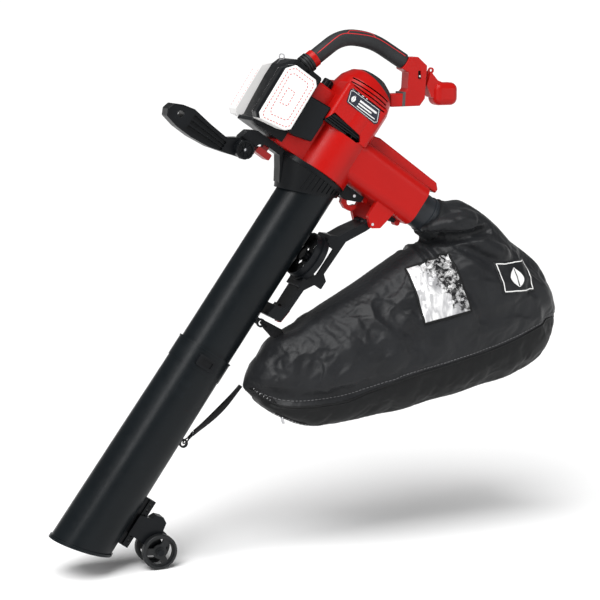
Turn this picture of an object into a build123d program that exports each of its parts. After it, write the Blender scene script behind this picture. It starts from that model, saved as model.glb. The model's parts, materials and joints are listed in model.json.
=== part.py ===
from build123d import *
import math
import os

os.makedirs("parts", exist_ok=True)

# A cordless leaf vacuum and mulcher, held by its arched grip with the suction tube leaning forward.
# It is modelled upright: u runs from the front handle to the bag, Y runs across and w runs up the
# suction tube. Every node is then leaned by TILT and moved so that the grip's mount is the origin.
TILT = 35.3            # lean of the suction tube from upright, degrees
WALL = 3.0             # moulded housing wall
RUN = 0.08             # radial clearance of a pin in its hole

# Suction tube
TUBE_A, TUBE_B = 57.5, 50.0          # half axes of the oval upper tube
TUBE_WALL = 2.5
COLLAR_TOP, COLLAR_LOW = -195.0, -241.0
COLLAR_A, COLLAR_B = 61.5, 54.0
MOUTH_A, MOUTH_B = 64.0, 56.5        # half axes of the flared mouth
MOUTH_LOW = -671.0                   # height of the mouth's bevel on the tube's axis
MOUTH_BEVEL = 0.237                  # rise of the bevel per unit towards the back
JOIN_MID, JOIN_RISE = 192.0, 0.43    # slanting joint between the tube and the funnel
EYE_R, EYE_HOLE = 9.5, 5.5
EYE_HIGH = (73.0, -86.0)             # (u, w) of the two hook eyes on the tube's back
EYE_LOW = (71.5, -383.0)

# Housing
FLOOR = 236.6                        # underside of the housing over the funnel
REAR_FLOOR = 256.0                   # underside of the outlet duct
FAN_TOP = 348.0
FAN_U, FAN_R = -4.0, 68.0            # axis and outer radius of the fan chamber
DUCT_END = 217.0
DUCT_HALF = 58.0
RIDGE_TOP, RIDGE_HALF = 375.0, 20.0
DOME_U, DOME_R = -10.0, 68.0
TOWER_HALF = 66.0
TOWER_TOP = 424.0
SHOULDER_TOP = 391.0
FRONT_WALL = -119.6
INLET_R = 50.0
SLOT_HEIGHTS = (412.0, 420.0, 428.0, 437.0)

# Motor and fan, on the fan chamber's axis
SHAFT_R = 4.0
DECK_LOW, DECK_TOP = 345.2, 349.0
STATOR_R, STATOR_BORE = 27.0, 14.8
ROTOR_R = 14.2
IMPELLER_R = 60.0
IMPELLER_LOW, IMPELLER_TOP = 272.0, 338.0
BLADES = 12

# Batteries and their holder
PACK_IN, PACK_OUT = 46.0, 90.0
HOLDER_HALF = 44.0
FRONT_EYE = (-205.0, 391.0)          # (u, w) of the wire eye for a shoulder strap

# Grip
HANDLE_PATH = [(-160.0, 384.0), (-120.0, 500.0), (-60.0, 533.0), (44.0, 539.5)]
HANDLE_RADII = [80.0, 150.0]
HANDLE_R, HANDLE_BORE = 14.5, 11.5
SLEEVE_R, SLEEVE_BORE = 17.0, 14.6
GRIP_POINT = (0.0, 536.75)           # (u, w) of the middle of the straight part of the grip
SWITCH_TRAVEL = 6.0

# Front handle
PIVOT = (-175.0, 186.0)
HUB_R = 16.0
HUB_HALF = 11.6
KNOB_R = 20.0

# Intake cover
COVER_HINGE = (148.0, 213.0)
LEG_IN, LEG_OUT = 34.0, 46.0

# Guide wheels
AXLE = (146.4, -597.5)
WHEEL_R, WHEEL_WIDTH, WHEEL_Y = 37.0, 16.0, 24.0
AXLE_R = 4.0

# Outlet pipe and bag
PIPE_W, PIPE_R = 304.0, 39.0
PIPE_END = 288.0


# ---------- helpers, all in the upright frame ----------

def block(u0, u1, y0, y1, w0, w1):
    return Pos((u0 + u1) / 2, (y0 + y1) / 2, (w0 + w1) / 2) * Box(u1 - u0, y1 - y0, w1 - w0)


def drum(u, y, w0, w1, r):
    """A cylinder standing along w."""
    return Pos(u, y, (w0 + w1) / 2) * Cylinder(r, w1 - w0)


def roller(spot, y0, y1, r):
    """A cylinder along Y at (u, w)."""
    return Pos(spot[0], (y0 + y1) / 2, spot[1]) * Rot(90, 0, 0) * Cylinder(r, y1 - y0)


def pipe(y, w, u0, u1, r):
    """A cylinder along u."""
    return Pos((u0 + u1) / 2, y, w) * Rot(0, 90, 0) * Cylinder(r, u1 - u0)


def plate(points, y0, y1, r=0.0, inset=0.0):
    """A side outline in (u, w), with its corners rounded by r, thick from y0 to y1."""
    outline = make_face(Polyline(*points, close=True))
    if r:
        outline = fillet(outline.vertices(), r)
    if inset:
        outline = offset(outline, amount=-inset)
    return Pos(0, y0, 0) * extrude(Plane.XZ * outline, amount=y1 - y0, dir=(0, 1, 0))


def oval(a, b, w0, w1, u=0.0):
    return extrude(Pos(u, 0, w0) * Ellipse(a, b), amount=w1 - w0, dir=(0, 0, 1))


def oval_taper(low, high, w0, w1):
    """A loft between two ovals, each (half axis in u, half axis in Y, u of its middle)."""
    bottom = Pos(low[2], 0, w0) * Ellipse(low[0], low[1])
    top = Pos(high[2], 0, w1) * Ellipse(high[0], high[1])
    return loft([bottom, top])


def both_sides(shape):
    return [shape, mirror(shape, about=Plane.XZ)]


def above_line(mid, rise, lift=0.0):
    """The space above a slanting plane through w = mid on the tube's axis."""
    reach = 160.0
    low, high = mid - rise * reach + lift, mid + rise * reach + lift
    return plate([(-reach, low), (reach, high), (reach, 620), (-reach, 620)], -150, 150)


def below_line(mid, rise, lift=0.0):
    reach = 160.0
    low, high = mid - rise * reach + lift, mid + rise * reach + lift
    return plate([(-reach, low), (-reach, -900), (reach, -900), (reach, high)], -150, 150)


def parts_of(*shapes):
    """Separate solids kept in one node."""
    solids = []
    for shape in shapes:
        solids += shape.solids()
    return Compound(children=solids)


def eye(spot):
    """A flat eye on the tube's back, bored along Y, on a short neck."""
    neck = block(54, spot[0], -2.5, 2.5, spot[1] - 7, spot[1] + 7)
    return roller(spot, -2.5, 2.5, EYE_R) + neck - roller(spot, -4, 4, EYE_HOLE)


# ---------- suction tube ----------

def suction_tube_upper():
    body = oval(TUBE_A, TUBE_B, COLLAR_LOW + 5, 240) + eye(EYE_HIGH)
    body -= oval(TUBE_A - TUBE_WALL, TUBE_B - TUBE_WALL, COLLAR_LOW, 250)
    return body - above_line(JOIN_MID, JOIN_RISE, -0.1)


def suction_tube_lower():
    low = MOUTH_LOW - 30
    collar = oval(COLLAR_A, COLLAR_B, COLLAR_LOW - 1, COLLAR_TOP)
    rim = oval(COLLAR_A + 1.2, COLLAR_B + 1.2, COLLAR_TOP - 3, COLLAR_TOP)
    tube = oval_taper((MOUTH_A, MOUTH_B, 0), (60, 52.5, 0), low, COLLAR_LOW)
    lip = oval(MOUTH_A + 2.5, MOUTH_B + 2.5, low, MOUTH_LOW + 30) & above_line(MOUTH_LOW, MOUTH_BEVEL)
    lip -= above_line(MOUTH_LOW + 6, MOUTH_BEVEL)
    body = collar + rim + tube + lip + eye(EYE_LOW)
    body -= oval(TUBE_A + 0.2, TUBE_B + 0.2, COLLAR_LOW + 4, COLLAR_TOP + 1)
    body -= oval_taper((MOUTH_A - 2.5, MOUTH_B - 2.5, 0), (56, 48.5, 0), low - 1, COLLAR_LOW + 4)
    body -= below_line(MOUTH_LOW, MOUTH_BEVEL)
    for w in (-276, -300):
        mark = block(-28, -6, -60, -40, w - 7, w + 7)
        mark &= oval_taper((63, 55, 0), (60.8, 53.3, 0), low, COLLAR_LOW)
        body += mark - oval_taper((62, 54, 0), (58, 50.5, 0), low, COLLAR_LOW)
    return body


def collar_clips():
    """The two snap clips that lock the tubes together, one on each side of the collar."""
    clip = block(-26, 20, -59, -40, -232, -208)
    clip = fillet(clip.edges().filter_by(Axis.Y), 4)
    clip -= block(-14, 8, -70, -57, -226, -214)
    clip -= oval(COLLAR_A, COLLAR_B, -260, -190)
    return parts_of(*both_sides(clip))


# ---------- funnel and front arm ----------

FUNNEL_LOW = (TUBE_A, TUBE_B, 0)
FUNNEL_TOP = (80.0, 60.0, -16.0)


def funnel_hollow():
    low = (FUNNEL_LOW[0] - WALL, FUNNEL_LOW[1] - WALL, 0)
    top = (FUNNEL_TOP[0] - WALL, FUNNEL_TOP[1] - WALL, FUNNEL_TOP[2])
    return oval_taper(low, top, 155, 227)


def funnel_adapter():
    cone = oval_taper(FUNNEL_LOW, FUNNEL_TOP, 155, 226)
    flange = oval(82, 62, 225.9, 235.6, -16)
    ribs_hull = oval_taper((TUBE_A + 1.8, TUBE_B + 1.8, 0), (81.8, 61.8, -16), 155, 226)
    ribs = [block(u - 1, u + 1, -70, 70, JOIN_MID + JOIN_RISE * u + 6, 226) & ribs_hull
            for u in range(-34, 56, 11)]
    arm = plate([(-60, 235.6), (-168, 235.6), (-184, 226), (-191, 204), (-190, 186), (-160, 180),
                 (-156, 200), (-149, 214), (-137, 221), (-99, 221), (-84, 200), (-66, 172), (-50, 200)],
                -16, 16, 3)
    arm -= block(-200, -155, -20, -HUB_HALF, 150, 207) + block(-200, -155, HUB_HALF, 20, 150, 207)
    hub = roller(PIVOT, -HUB_HALF, HUB_HALF, HUB_R)
    clevis = block(50, 113, -14, 14, 226.1, 235.5) + block(64.4, 113, -14, 14, 235, 253)
    clevis = clevis - block(66.2, 120, -7, 7, 220, 260) - roller((92, 244), -20, 20, 3 + RUN)
    body = cone + flange + arm + hub + clevis
    for rib in ribs:
        body += rib
    body -= funnel_hollow()
    body -= oval(66, 54, 220, 240, -8)
    body -= below_line(JOIN_MID, JOIN_RISE, 0.1)
    body -= roller(PIVOT, -20, 20, 3 + RUN)
    body -= block(-138, -122, -7, 7, 215, 240)
    return body


def intake_seal():
    """The foam ring between the funnel's flange and the housing."""
    return oval(72, 58, 235.6, FLOOR, -10) - oval(66, 54, 230, 240, -8)


def front_latch():
    bar = block(-147, -112, -14, 14, 198, 212)
    bar = fillet(bar.edges().filter_by(Axis.Y), 3)
    return bar + block(-137, -123, -6, 6, 211, 231)


def release_lever():
    hook = plate([(83, 250), (83, 240), (73, 230), (78, 218), (92, 212), (107, 214), (115, 228),
                  (108, 232), (101, 224), (92, 222), (86, 228), (98, 238), (99, 250)], -6.4, 6.4, 2)
    return hook - roller((92, 244), -20, 20, 3 + RUN)


def lever_pin():
    return roller((92, 244), -15, 15, 3)


# ---------- housing ----------

def dome_form(g):
    """The round motor tower, inset by g."""
    r = DOME_R - g
    side = make_face(Polyline((0, 330), (r, 330), (r, 416), (61 - g, 442), (47 - 0.8 * g, 462),
                              (28 - 0.6 * g, 473 - g), (0, 473 - g), close=True))
    bends = [v for v in side.vertices() if v.X > 20 and v.Y > 400]
    side = fillet(bends, 9)
    return Pos(DOME_U, 0, 0) * revolve(Plane.XZ * side, Axis.Z)


def tower_form(g):
    tower = block(-76 + g, 36 - g, -TOWER_HALF + g, TOWER_HALF - g, 330, TOWER_TOP - g)
    tower = fillet(tower.edges().filter_by(Axis.Z), 10)
    return fillet(tower.faces().sort_by(Axis.Z)[-1].edges(), 9)


def shoulder_form(g):
    box = block(FRONT_WALL + g, -40, -37.4 + g, 37.4 - g, 259 + g, SHOULDER_TOP - g)
    return fillet(box.faces().sort_by(Axis.Z)[-1].edges(), 7)


def fan_form(g):
    fan = drum(FAN_U, 0, 246, FAN_TOP - g, FAN_R - g)
    return fillet(fan.faces().sort_by(Axis.Z)[-1].edges(), 16)


def duct_form(g):
    duct = block(-20, DUCT_END - g, -DUCT_HALF + g, DUCT_HALF - g, REAR_FLOOR + g, FAN_TOP - g)
    return fillet(duct.edges().filter_by(Axis.X), 24)


def skirt_form(g):
    return drum(FAN_U, 0, FLOOR + g, 262, FAN_R - g)


def ridge():
    side = plate([(40, 335), (40, 366), (70, RIDGE_TOP), (236, 371), (247, 361), (247, 351), (218, 349),
                  (214, 335)], -RIDGE_HALF, RIDGE_HALF, 3)
    return fillet([e for e in side.edges() if e.center().Z > 365 and abs(e.center().Y) > 19], 5)


def legs():
    leg = plate([(128, 262), (130, 221), (150, 204), (168, 216), (177, 262)], LEG_IN, LEG_OUT, 5)
    return both_sides(leg)


def louvre_outline(y0, y1):
    return plate([(-77, 327), (-67, 352), (8, 344), (16, 333), (9, 327)], y0, y1, 2)


def nameplate_outline(y0, y1, inset=0.0):
    return plate([(-66, 410), (-60, 413), (15, 413), (26, 386), (20, 381), (-58, 383)], y0, y1, 3, inset)


def screw_spots():
    """(u, w) of the housing's clamping screws, which run along Y."""
    return [(-112, 248), (232, 361), (120, 361), (212, 252), (121, 251), (-112.5, 381)]


def housing_outside():
    body = dome_form(0) + tower_form(0) + shoulder_form(0) + fan_form(0) + duct_form(0)
    body += skirt_form(0) + ridge()
    body += block(-131, -50, -37.4, 37.4, FLOOR + 0.4, 242.4) + block(FRONT_WALL, -50, -37.4, 37.4, 240, 262)
    for leg in legs():
        body += leg
    for u, w in screw_spots():
        body += roller((u, w), -9, 9, 6)
    return body


def housing_inside():
    fan = fan_form(WALL) + duct_form(WALL) + skirt_form(WALL)
    top = (dome_form(WALL) + tower_form(WALL)) & block(-100, 100, -100, 100, FAN_TOP - WALL, 480)
    front = shoulder_form(WALL) & block(-130, FAN_U - 40, -50, 50, 268, 400)
    front -= drum(FAN_U, 0, 230, FAN_TOP, FAN_R)
    return fan + top + front


def housing_shell():
    body = housing_outside() - housing_inside()
    body += roller(screw_spots()[-1], -9, 9, 6)
    body -= drum(FAN_U + 4, 0, 230, 250, INLET_R)
    body -= pipe(0, PIPE_W, DUCT_END - 8, DUCT_END + 5, PIPE_R + 0.05)
    body -= drum(-90, 0, 380, 400, 3 + RUN)
    body -= roller(COVER_HINGE, -60, 60, 3 + RUN)
    for u, w in screw_spots():
        body -= roller((u, w), -8.5, 12, 1.85) + roller((u, w), 5, 70, 3.6)
    for side in (-1, 1):
        y0, y1 = sorted((side * 80, side * 48))
        body -= louvre_outline(y0, y1)
        y0, y1 = sorted((side * 80, side * 16))
        for w in SLOT_HEIGHTS:
            body -= block(-62, 26, y0, y1, w, w + 3)
    body -= nameplate_outline(-TOWER_HALF - 4, -TOWER_HALF + 1)
    return body - above_line(455, -0.29, 0)


def housing_half(shell, side):
    y0, y1 = (-100, 0) if side < 0 else (0, 100)
    return shell & block(-150, 260, y0, y1, 190, 480)


def motor_cap():
    cap = (dome_form(0) - dome_form(WALL)) & above_line(455, -0.29, 0.05)
    return cap


def vent_screen():
    """The slatted liner behind the dome's slots."""
    outer = DOME_R - WALL - 4.4
    ring = drum(DOME_U, 0, 409, 430, outer) - drum(DOME_U, 0, 400, 442, outer - 1.2)
    for u in range(-60, 45, 10):
        ring -= block(u - 2.5, u + 2.5, -80, 80, 413, 426)
    return ring


def side_louvres():
    body = louvre_outline(-63, -52)
    for w in (331, 336, 341, 346):
        body -= block(-80, 20, -70, -58, w, w + 2.2)
    body = (body - housing_inside()).solids().sort_by(SortBy.VOLUME)[-1]
    return parts_of(*both_sides(body))


def nameplate():
    return nameplate_outline(-TOWER_HALF - 1, -TOWER_HALF + 1, 0.15)


def housing_screws():
    bodies = []
    for u, w in screw_spots():
        bodies.append(roller((u, w), -8, 5, 1.8) + roller((u, w), 5, 7.5, 3.4))
    return parts_of(*bodies)


def outlet_clip():
    return plate([(179, 255.9), (179, 248), (186, 243), (201, 247), (201, 255.9)], -16, 16, 1.5)


def speed_dial():
    knob = drum(-90, 0, SHOULDER_TOP + 0.4, 411, 11)
    knob = fillet(knob.faces().sort_by(Axis.Z)[-1].edges(), 2)
    for k in range(12):
        knob -= Pos(-90, 0, 0) * Rot(0, 0, 30 * k) * drum(12.2, 0, 394, 415, 2)
    knob += drum(-90, 0, SHOULDER_TOP - 6, SHOULDER_TOP + 1, 3)
    return knob - block(-100, -94, -0.8, 0.8, 410, 412)


# ---------- motor and fan ----------

def bearing_deck():
    room = (dome_form(WALL + 0.2) + tower_form(WALL + 0.2)) & block(-100, 100, -100, 100, DECK_LOW, DECK_TOP)
    seat = drum(FAN_U, 0, DECK_TOP - 0.1, DECK_TOP + 6, 16)
    return room + seat - drum(FAN_U, 0, 330, 360, 9) - drum(FAN_U, 0, DECK_TOP - 2, 360, 11.02)


def bearing(w0, w1):
    return drum(FAN_U, 0, w0, w1, 11) - drum(FAN_U, 0, w0 - 1, w1 + 1, SHAFT_R + 0.02)


def motor_stator():
    low, top = DECK_TOP + 6.2, 418
    can = drum(FAN_U, 0, low, top, STATOR_R) - drum(FAN_U, 0, low - 1, top - 8, STATOR_BORE)
    can -= drum(FAN_U, 0, top - 9, top - 1, 11.02) + drum(FAN_U, 0, top - 2, top + 1, 6)
    window = block(STATOR_R - 2, STATOR_R + 1, -3, 3, low + 8, top - 8)
    for k in range(8):
        can -= Pos(FAN_U, 0, 0) * Rot(0, 0, 45 * k) * window
    return can


def motor_rotor():
    """The magnet rotor with its shaft, which carries the fan and the blade."""
    return drum(FAN_U, 0, 364, 402, ROTOR_R) + drum(FAN_U, 0, 250, 416, SHAFT_R)


def impeller():
    disc = drum(FAN_U, 0, IMPELLER_TOP - 3, IMPELLER_TOP, IMPELLER_R)
    hub = drum(FAN_U, 0, IMPELLER_LOW, IMPELLER_TOP, 12)
    body = disc + hub
    vane = block(10, IMPELLER_R - 1, -1.25, 1.25, IMPELLER_LOW + 2, IMPELLER_TOP - 1)
    vane -= plate([(9, IMPELLER_LOW), (34, IMPELLER_LOW), (9, IMPELLER_LOW + 18)], -5, 5)
    for k in range(BLADES):
        body += Pos(FAN_U, 0, 0) * Rot(0, 0, 360 / BLADES * k) * vane
    return body - drum(FAN_U, 0, 260, 345, SHAFT_R)


def mulching_blade():
    bar = block(FAN_U - 42, FAN_U + 42, -8, 8, 262, 265.5)
    for side in (-1, 1):
        tip = plate([(side * 30, 262), (side * 42, 262), (side * 42, 257.5)], -8, 8)
        bar += Pos(FAN_U, 0, 0) * tip
    collar = drum(FAN_U, 0, 262, IMPELLER_LOW - 0.1, 9)
    return bar + collar - drum(FAN_U, 0, 250, 280, SHAFT_R)


def blade_nut():
    return Pos(FAN_U, 0, 254) * extrude(RegularPolygon(8, 6), amount=7.9) - drum(FAN_U, 0, 245, 280, SHAFT_R)


def controller_board():
    board = block(-108, -106.4, -26, 26, 285, 360)
    for w in (295, 318, 341):
        board += block(-106.5, -98, -18, -6, w, w + 12)
    return board + block(-106.5, -90, 4, 22, 300, 340)


# ---------- battery holder and packs ----------

def handle_run(points, radii, r):
    """A round bar along the grip's line: straight runs joined by arcs."""
    line = FilletPolyline(*[(u, 0, w) for u, w in points], radius=radii)
    start = Plane(origin=line @ 0, z_dir=line % 0)
    return sweep(start * Circle(r), path=line)


def along_root(s):
    """A point on the grip's first straight run, s from its lower end."""
    (u0, w0), (u1, w1) = HANDLE_PATH[:2]
    length = math.hypot(u1 - u0, w1 - w0)
    return (u0 + (u1 - u0) * s / length, w0 + (w1 - w0) * s / length)


def root_drum(s0, s1, r):
    """A cylinder on the axis of the grip's first straight run."""
    a, b = along_root(s0), along_root(s1)
    lean = math.degrees(math.atan2(b[0] - a[0], b[1] - a[1]))
    return Pos((a[0] + b[0]) / 2, 0, (a[1] + b[1]) / 2) * Rot(0, lean, 0) * Cylinder(r, s1 - s0)


def pack_channel(side, grow):
    """The T shaped guide that a pack's foot slides in, open at the top."""
    inner = sorted((side * (34 - grow), side * (39 + grow)))
    outer = sorted((side * 38, side * 46))
    wide = block(-192 - grow, -146 + grow, inner[0], inner[1], 272 - grow, 372)
    neck = block(-186 - grow, -152 + grow, outer[0], outer[1], 272 - grow, 372)
    return wide + neck


def battery_holder():
    side = [(-186, 399), (-124, 396), (-121, 392), (-121, 241), (-199, 241), (-200, 249), (-193, 256),
            (-199, 285), (-203, 314), (-207, 343), (-207, 372), (-196, 391)]
    body = plate(side, -HOLDER_HALF, HOLDER_HALF, 1.5)
    for s in (-1, 1):
        corner = Polyline((-215, s * 13), (-208, s * 22), (-191, s * 45), (-215, s * 45), close=True)
        body -= extrude(Pos(0, 0, 250) * make_face(corner), amount=160, dir=(0, 0, 1))
    body -= block(-146, -125, -29, 29, 262, 380)
    for s in (-1, 1):
        y0, y1 = sorted((s * 38, s * 62))
        cheek = plate([(-132.5, 350), (-77, 356), (-77, 327), (-73.4, 321), (-73.4, 275), (-112, 264),
                       (-132.5, 264)], y0, y1, 2)
        outer = [e for e in cheek.edges() if abs(abs(e.center().Y) - 62) < 0.1]
        body += fillet(outer, 4)
    body -= block(FRONT_WALL - 0.2, -60, -37.8, 37.8, 240, 420)
    body -= block(-131.4, -110, -37.8, 37.8, 235, 242.8)
    for s in (-1, 1):
        body -= pack_channel(s, 0.4) + Pos(0, 0, 40) * pack_channel(s, 0.4)
    body -= root_drum(-1, 20, HANDLE_R + 0.1)
    return body - block(-206.2, -203.8, -1.2, 1.2, 364, 400)


def strap_eye_front():
    ring = roller(FRONT_EYE, -1.2, 1.2, 6.6) - roller(FRONT_EYE, -3, 3, 4.4)
    return ring + block(-206.1, -203.9, -1.1, 1.1, 365, 385.4)


def battery_pack(side):
    y0, y1 = sorted((side * PACK_IN, side * PACK_OUT))
    shape = [(-215, 360), (-200, 377.5), (-148, 377.5), (-139, 368), (-136, 266), (-146, 257), (-203, 247),
             (-212, 256)]
    pack = plate(shape, y0, y1, 4)
    pack = fillet([e for e in pack.edges() if abs(abs(e.center().Y) - PACK_OUT) < 0.1], 3.5)
    wide = sorted((side * 34.4, side * 38.6))
    neck = sorted((side * 38.5, side * (PACK_IN + 0.1)))
    pack += block(-191.4, -146.6, wide[0], wide[1], 272.4, 360)
    pack += block(-185.4, -152.6, neck[0], neck[1], 272.4, 360)
    well = sorted((side * 56, side * 76))
    return pack - block(-187, -163, well[0], well[1], 364, 385)


def battery_button(side):
    y0, y1 = sorted((side * 57, side * 75))
    cap = block(-186, -164, y0, y1, 367.5, 380)
    return fillet(cap.faces().sort_by(Axis.Z)[-1].edges(), 1.5)


# ---------- grip and rear bracket ----------

def handle_half(side):
    bar = handle_run(HANDLE_PATH, HANDLE_RADII, HANDLE_R)
    bar -= handle_run(HANDLE_PATH, HANDLE_RADII, HANDLE_BORE)
    y0, y1 = (-40, 0) if side < 0 else (0, 40)
    return bar & block(-220, 80, y0, y1, 360, 570)


def handle_bellows():
    body = root_drum(18.5, 38, 18.5)
    for s in (20, 26, 32):
        body += root_drum(s, s + 3.4, 21)
    body -= root_drum(10, 45, HANDLE_R + 0.1)
    return body - block(-220, -100, -50, 50, 380, 399.2)


def grip_ring():
    return root_drum(38.2, 50, 18.8) - root_drum(30, 60, HANDLE_R + 0.1)


def grip_sleeve():
    line = [along_root(50.2)] + HANDLE_PATH[1:3] + [(26.4, 538.39)]
    return handle_run(line, HANDLE_RADII, SLEEVE_R) - handle_run(line, HANDLE_RADII, SLEEVE_BORE)


BRACKET_SCREWS = [(92, 488), (52, 549)]
BRACKET = [(28, 521), (28, 550), (44, 562), (72, 559), (108, 500), (107, 481), (52, 441), (36, 463),
           (61, 481), (63, 494), (45, 523)]


def bracket_cross_cut(spot, across, along, y0, y1):
    """A block whose long side stands upright on the leaning machine."""
    return Pos(spot[0], (y0 + y1) / 2, spot[1]) * Rot(0, -TILT, 0) * Box(across, y1 - y0, along)


def switch_place(s):
    """A point s along the slot of the on and off slider, from the slot's middle."""
    t = math.radians(TILT)
    return (67.7 - s * math.sin(t), 533.0 + s * math.cos(t))


def rear_bracket():
    body = plate(BRACKET, -18, 18, 3)
    body = fillet([e for e in body.edges() if abs(abs(e.center().Y) - 18) < 0.1], 2)
    body -= plate(BRACKET, -14.5, 14.5, 3, 4)
    for spot in BRACKET_SCREWS:
        body += roller(spot, -15, 15, 5)
    body -= dome_form(0) + tower_form(0)
    body -= handle_run(HANDLE_PATH, HANDLE_RADII, HANDLE_R + 0.1)
    body -= block(20, 28.2, -30, 30, 515, 560)
    body -= bracket_cross_cut(switch_place(0), 6.6, 17, -22, -13)
    for spot in BRACKET_SCREWS:
        body -= roller(spot, -16, 16, 1.55)
    body -= seam_band_hull(0.0)
    body -= plate([(80, 553), (95, 524), (101, 528), (86, 557)], -9, 9)
    return body


def seam_band_hull(g):
    return plate([(57, 482.5), (62, 486), (78, 461), (72.5, 457)], -18.5 + g, 18.5 - g)


def seam_band():
    """The grey band round the bracket's lower arm."""
    return seam_band_hull(0.1) - plate(BRACKET, -14.5, 14.5, 3, 4)


def bracket_half(body, side):
    y0, y1 = (-40, 0) if side < 0 else (0, 40)
    return body & block(0, 140, y0, y1, 420, 590)


def power_switch():
    cap = bracket_cross_cut(switch_place(-SWITCH_TRAVEL / 2), 6, 9, -19.6, -14.8)
    return fillet(cap.faces().sort_by(Axis.Y)[0].edges(), 1.2)


def switch_block():
    return bracket_cross_cut(switch_place(0), 14, 24, -13.5, -2)


def bracket_screws():
    bodies = []
    for spot in BRACKET_SCREWS:
        bodies.append(roller(spot, -14, 12, 1.5))
    return parts_of(*bodies)


def rear_pod():
    bulb = Pos(144, 0, 536) * Rot(0, -TILT, 0) * Box(56, 46, 48)
    bulb = fillet(bulb.edges(), 15)
    neck = plate([(88, 555), (97, 526), (120, 512), (150, 520), (140, 556), (112, 549)], -14, 14, 3)
    tab = roller((92, 560), -2, 2, 6.4) + block(86, 98, -2, 2, 548, 558)
    body = bulb + neck + tab + plate([(84, 553), (96, 527), (106, 530), (100, 553)], -8.8, 8.8)
    inner = Pos(144, 0, 536) * Rot(0, -TILT, 0) * Box(48, 38, 40)
    body -= fillet(inner.edges(), 10)
    return body - roller((92, 560), -5, 5, 3)


# ---------- front handle ----------

def aux_handle():
    side = [(-354, 166), (-350, 180), (-330, 190), (-305, 196), (-258, 190), (-215, 187), (-192, 203),
            (-172, 203), (-158, 190), (-160, 172), (-175, 168), (-196, 161), (-236, 150), (-281, 145),
            (-318, 146), (-347, 152)]
    body = plate(side, -19, 19, 4)
    body = fillet([e for e in body.edges() if abs(abs(e.center().Y) - 19) < 0.1], 3)
    body -= block(-194.5, -140, -12, 12, 140, 240)
    for s in (-1, 1):
        y0, y1 = sorted((s * 14, s * 25))
        for low in (0, 12, 24):
            end = 0.6 * low
            groove = [(-300, 154 + low), (-300, 162 + low), (-212, 164 + end), (-212, 158 + end)]
            body -= plate(groove, y0, y1, 2)
    body -= roller((-325, 172), -30, 30, 7)
    return body - roller(PIVOT, -30, 30, 3 + RUN)


def clamp_bolt():
    return roller(PIVOT, -34, 19.5, 3) + roller(PIVOT, 19.2, 24, 7.5)


def clamp_knob():
    knob = roller(PIVOT, -37, -19.4, KNOB_R)
    knob = fillet(knob.faces().sort_by(Axis.Y)[0].edges(), 2)
    knob -= roller(PIVOT, -40, -34, 15.5) - roller(PIVOT, -40, -33, 6)
    for k in range(8):
        spoke = block(5.5, 16, -36, -33.5, -1, 1)
        knob += Pos(PIVOT[0], 0, PIVOT[1]) * Rot(0, 45 * k + 22, 0) * spoke
        notch = block(KNOB_R - 1.2, KNOB_R + 2, -40, -10, -2, 2)
        knob -= Pos(PIVOT[0], 0, PIVOT[1]) * Rot(0, 45 * k, 0) * notch
    return knob - roller(PIVOT, -40, 0, 3 + RUN)


# ---------- intake cover ----------

COVER_SIDE = [(152, 221), (158, 214), (150, 196), (124, 152), (121, 70), (134, 60), (134, 40), (116, 40),
              (102, 18), (100, -34), (96, -64), (62, -68), (66, -40), (88, -36), (90, 4), (86, 20),
              (88, 145), (104, 153), (118, 178), (140, 210)]


def intake_cover():
    """The hinged cover: two side rails, a cross web and the rim of the bowl."""
    frame = plate(COVER_SIDE, -33, 33, 2)
    frame -= plate([(84, 153), (109, 149), (108, 60), (84, 20), (60, 20)], -40, 40) & drum_u(96, 84, 51, 60)
    frame -= block(104, 170, -27, 27, -30, 148)
    frame -= block(40, 92.5, -60, 60, -30, 18)
    body = frame + drum_u(88, 84, 56, 12)
    body -= drum_u(84, 84, 51, 22)
    body += roller(COVER_HINGE, -33, 33, 8)
    body -= block(138, 175, -12, 12, 195, 240)
    body -= block(88, 112, -9, 9, -70, -30)
    body -= roller((97, -40), -30, 30, 2.5 + RUN)
    return body - roller(COVER_HINGE, -60, 60, 3 + RUN)


def drum_u(u, w, r, depth):
    """A cylinder along u, centred on (u, w)."""
    return Pos(u, 0, w) * Rot(0, 90, 0) * Cylinder(r, depth)


def cover_bowl():
    """The dished plug with spokes inside the cover's rim."""
    bowl = drum_u(78, 84, 50.6, 20) - drum_u(72, 84, 47.5, 20)
    for k in range(6):
        bowl -= Pos(0, 0, 84) * Rot(60 * k, 0, 0) * block(60, 100, -7, 7, 18, 42)
    return bowl + drum_u(76, 84, 12, 14)


def cover_hinge_pin():
    return roller(COVER_HINGE, -LEG_OUT - 1, LEG_OUT + 1, 3)


def cover_latch():
    body = plate([(92, -34), (103, -31), (112, -31), (108, -62), (100, -66), (96, -52)], -8.4, 8.4, 2)
    return body - roller((97, -40), -30, 30, 2.5 + RUN)


def cover_latch_pin():
    return roller((97, -40), -20, 20, 2.5)


# ---------- guide wheels ----------

def tube_outer(grow=0.0):
    low = MOUTH_LOW - 30
    return oval_taper((MOUTH_A + grow, MOUTH_B + grow, 0), (60 + grow, 52.5 + grow, 0), low, COLLAR_LOW)


def wheel_rail():
    body = block(50, 75, -4, 4, -626, -516) + block(74, 88, -8, 8, -626, -516)
    for k in range(8):
        body -= roller((81, -528 - 12 * k), -20, 20, 3)
    return body - tube_outer(0.0)


def wheel_carrier():
    side = [(71, -554), (98, -549), (104, -538), (118, -534), (130, -541), (133, -556), (138, -575),
            (156, -588), (157, -606), (140, -612), (118, -604), (98, -600), (71, -600)]
    body = plate(side, -14, 14, 2.5)
    body -= block(73.6, 88.4, -8.4, 8.4, -640, -500) + block(60, 80, -4.4, 4.4, -640, -500)
    body -= plate([(100, -560), (126, -560), (132, -578), (140, -590), (104, -588)], -10.5, 20, 3)
    return body - roller(AXLE, -30, 30, AXLE_R + RUN)


def wheel_axle():
    return roller(AXLE, -35, 35, AXLE_R)


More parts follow.
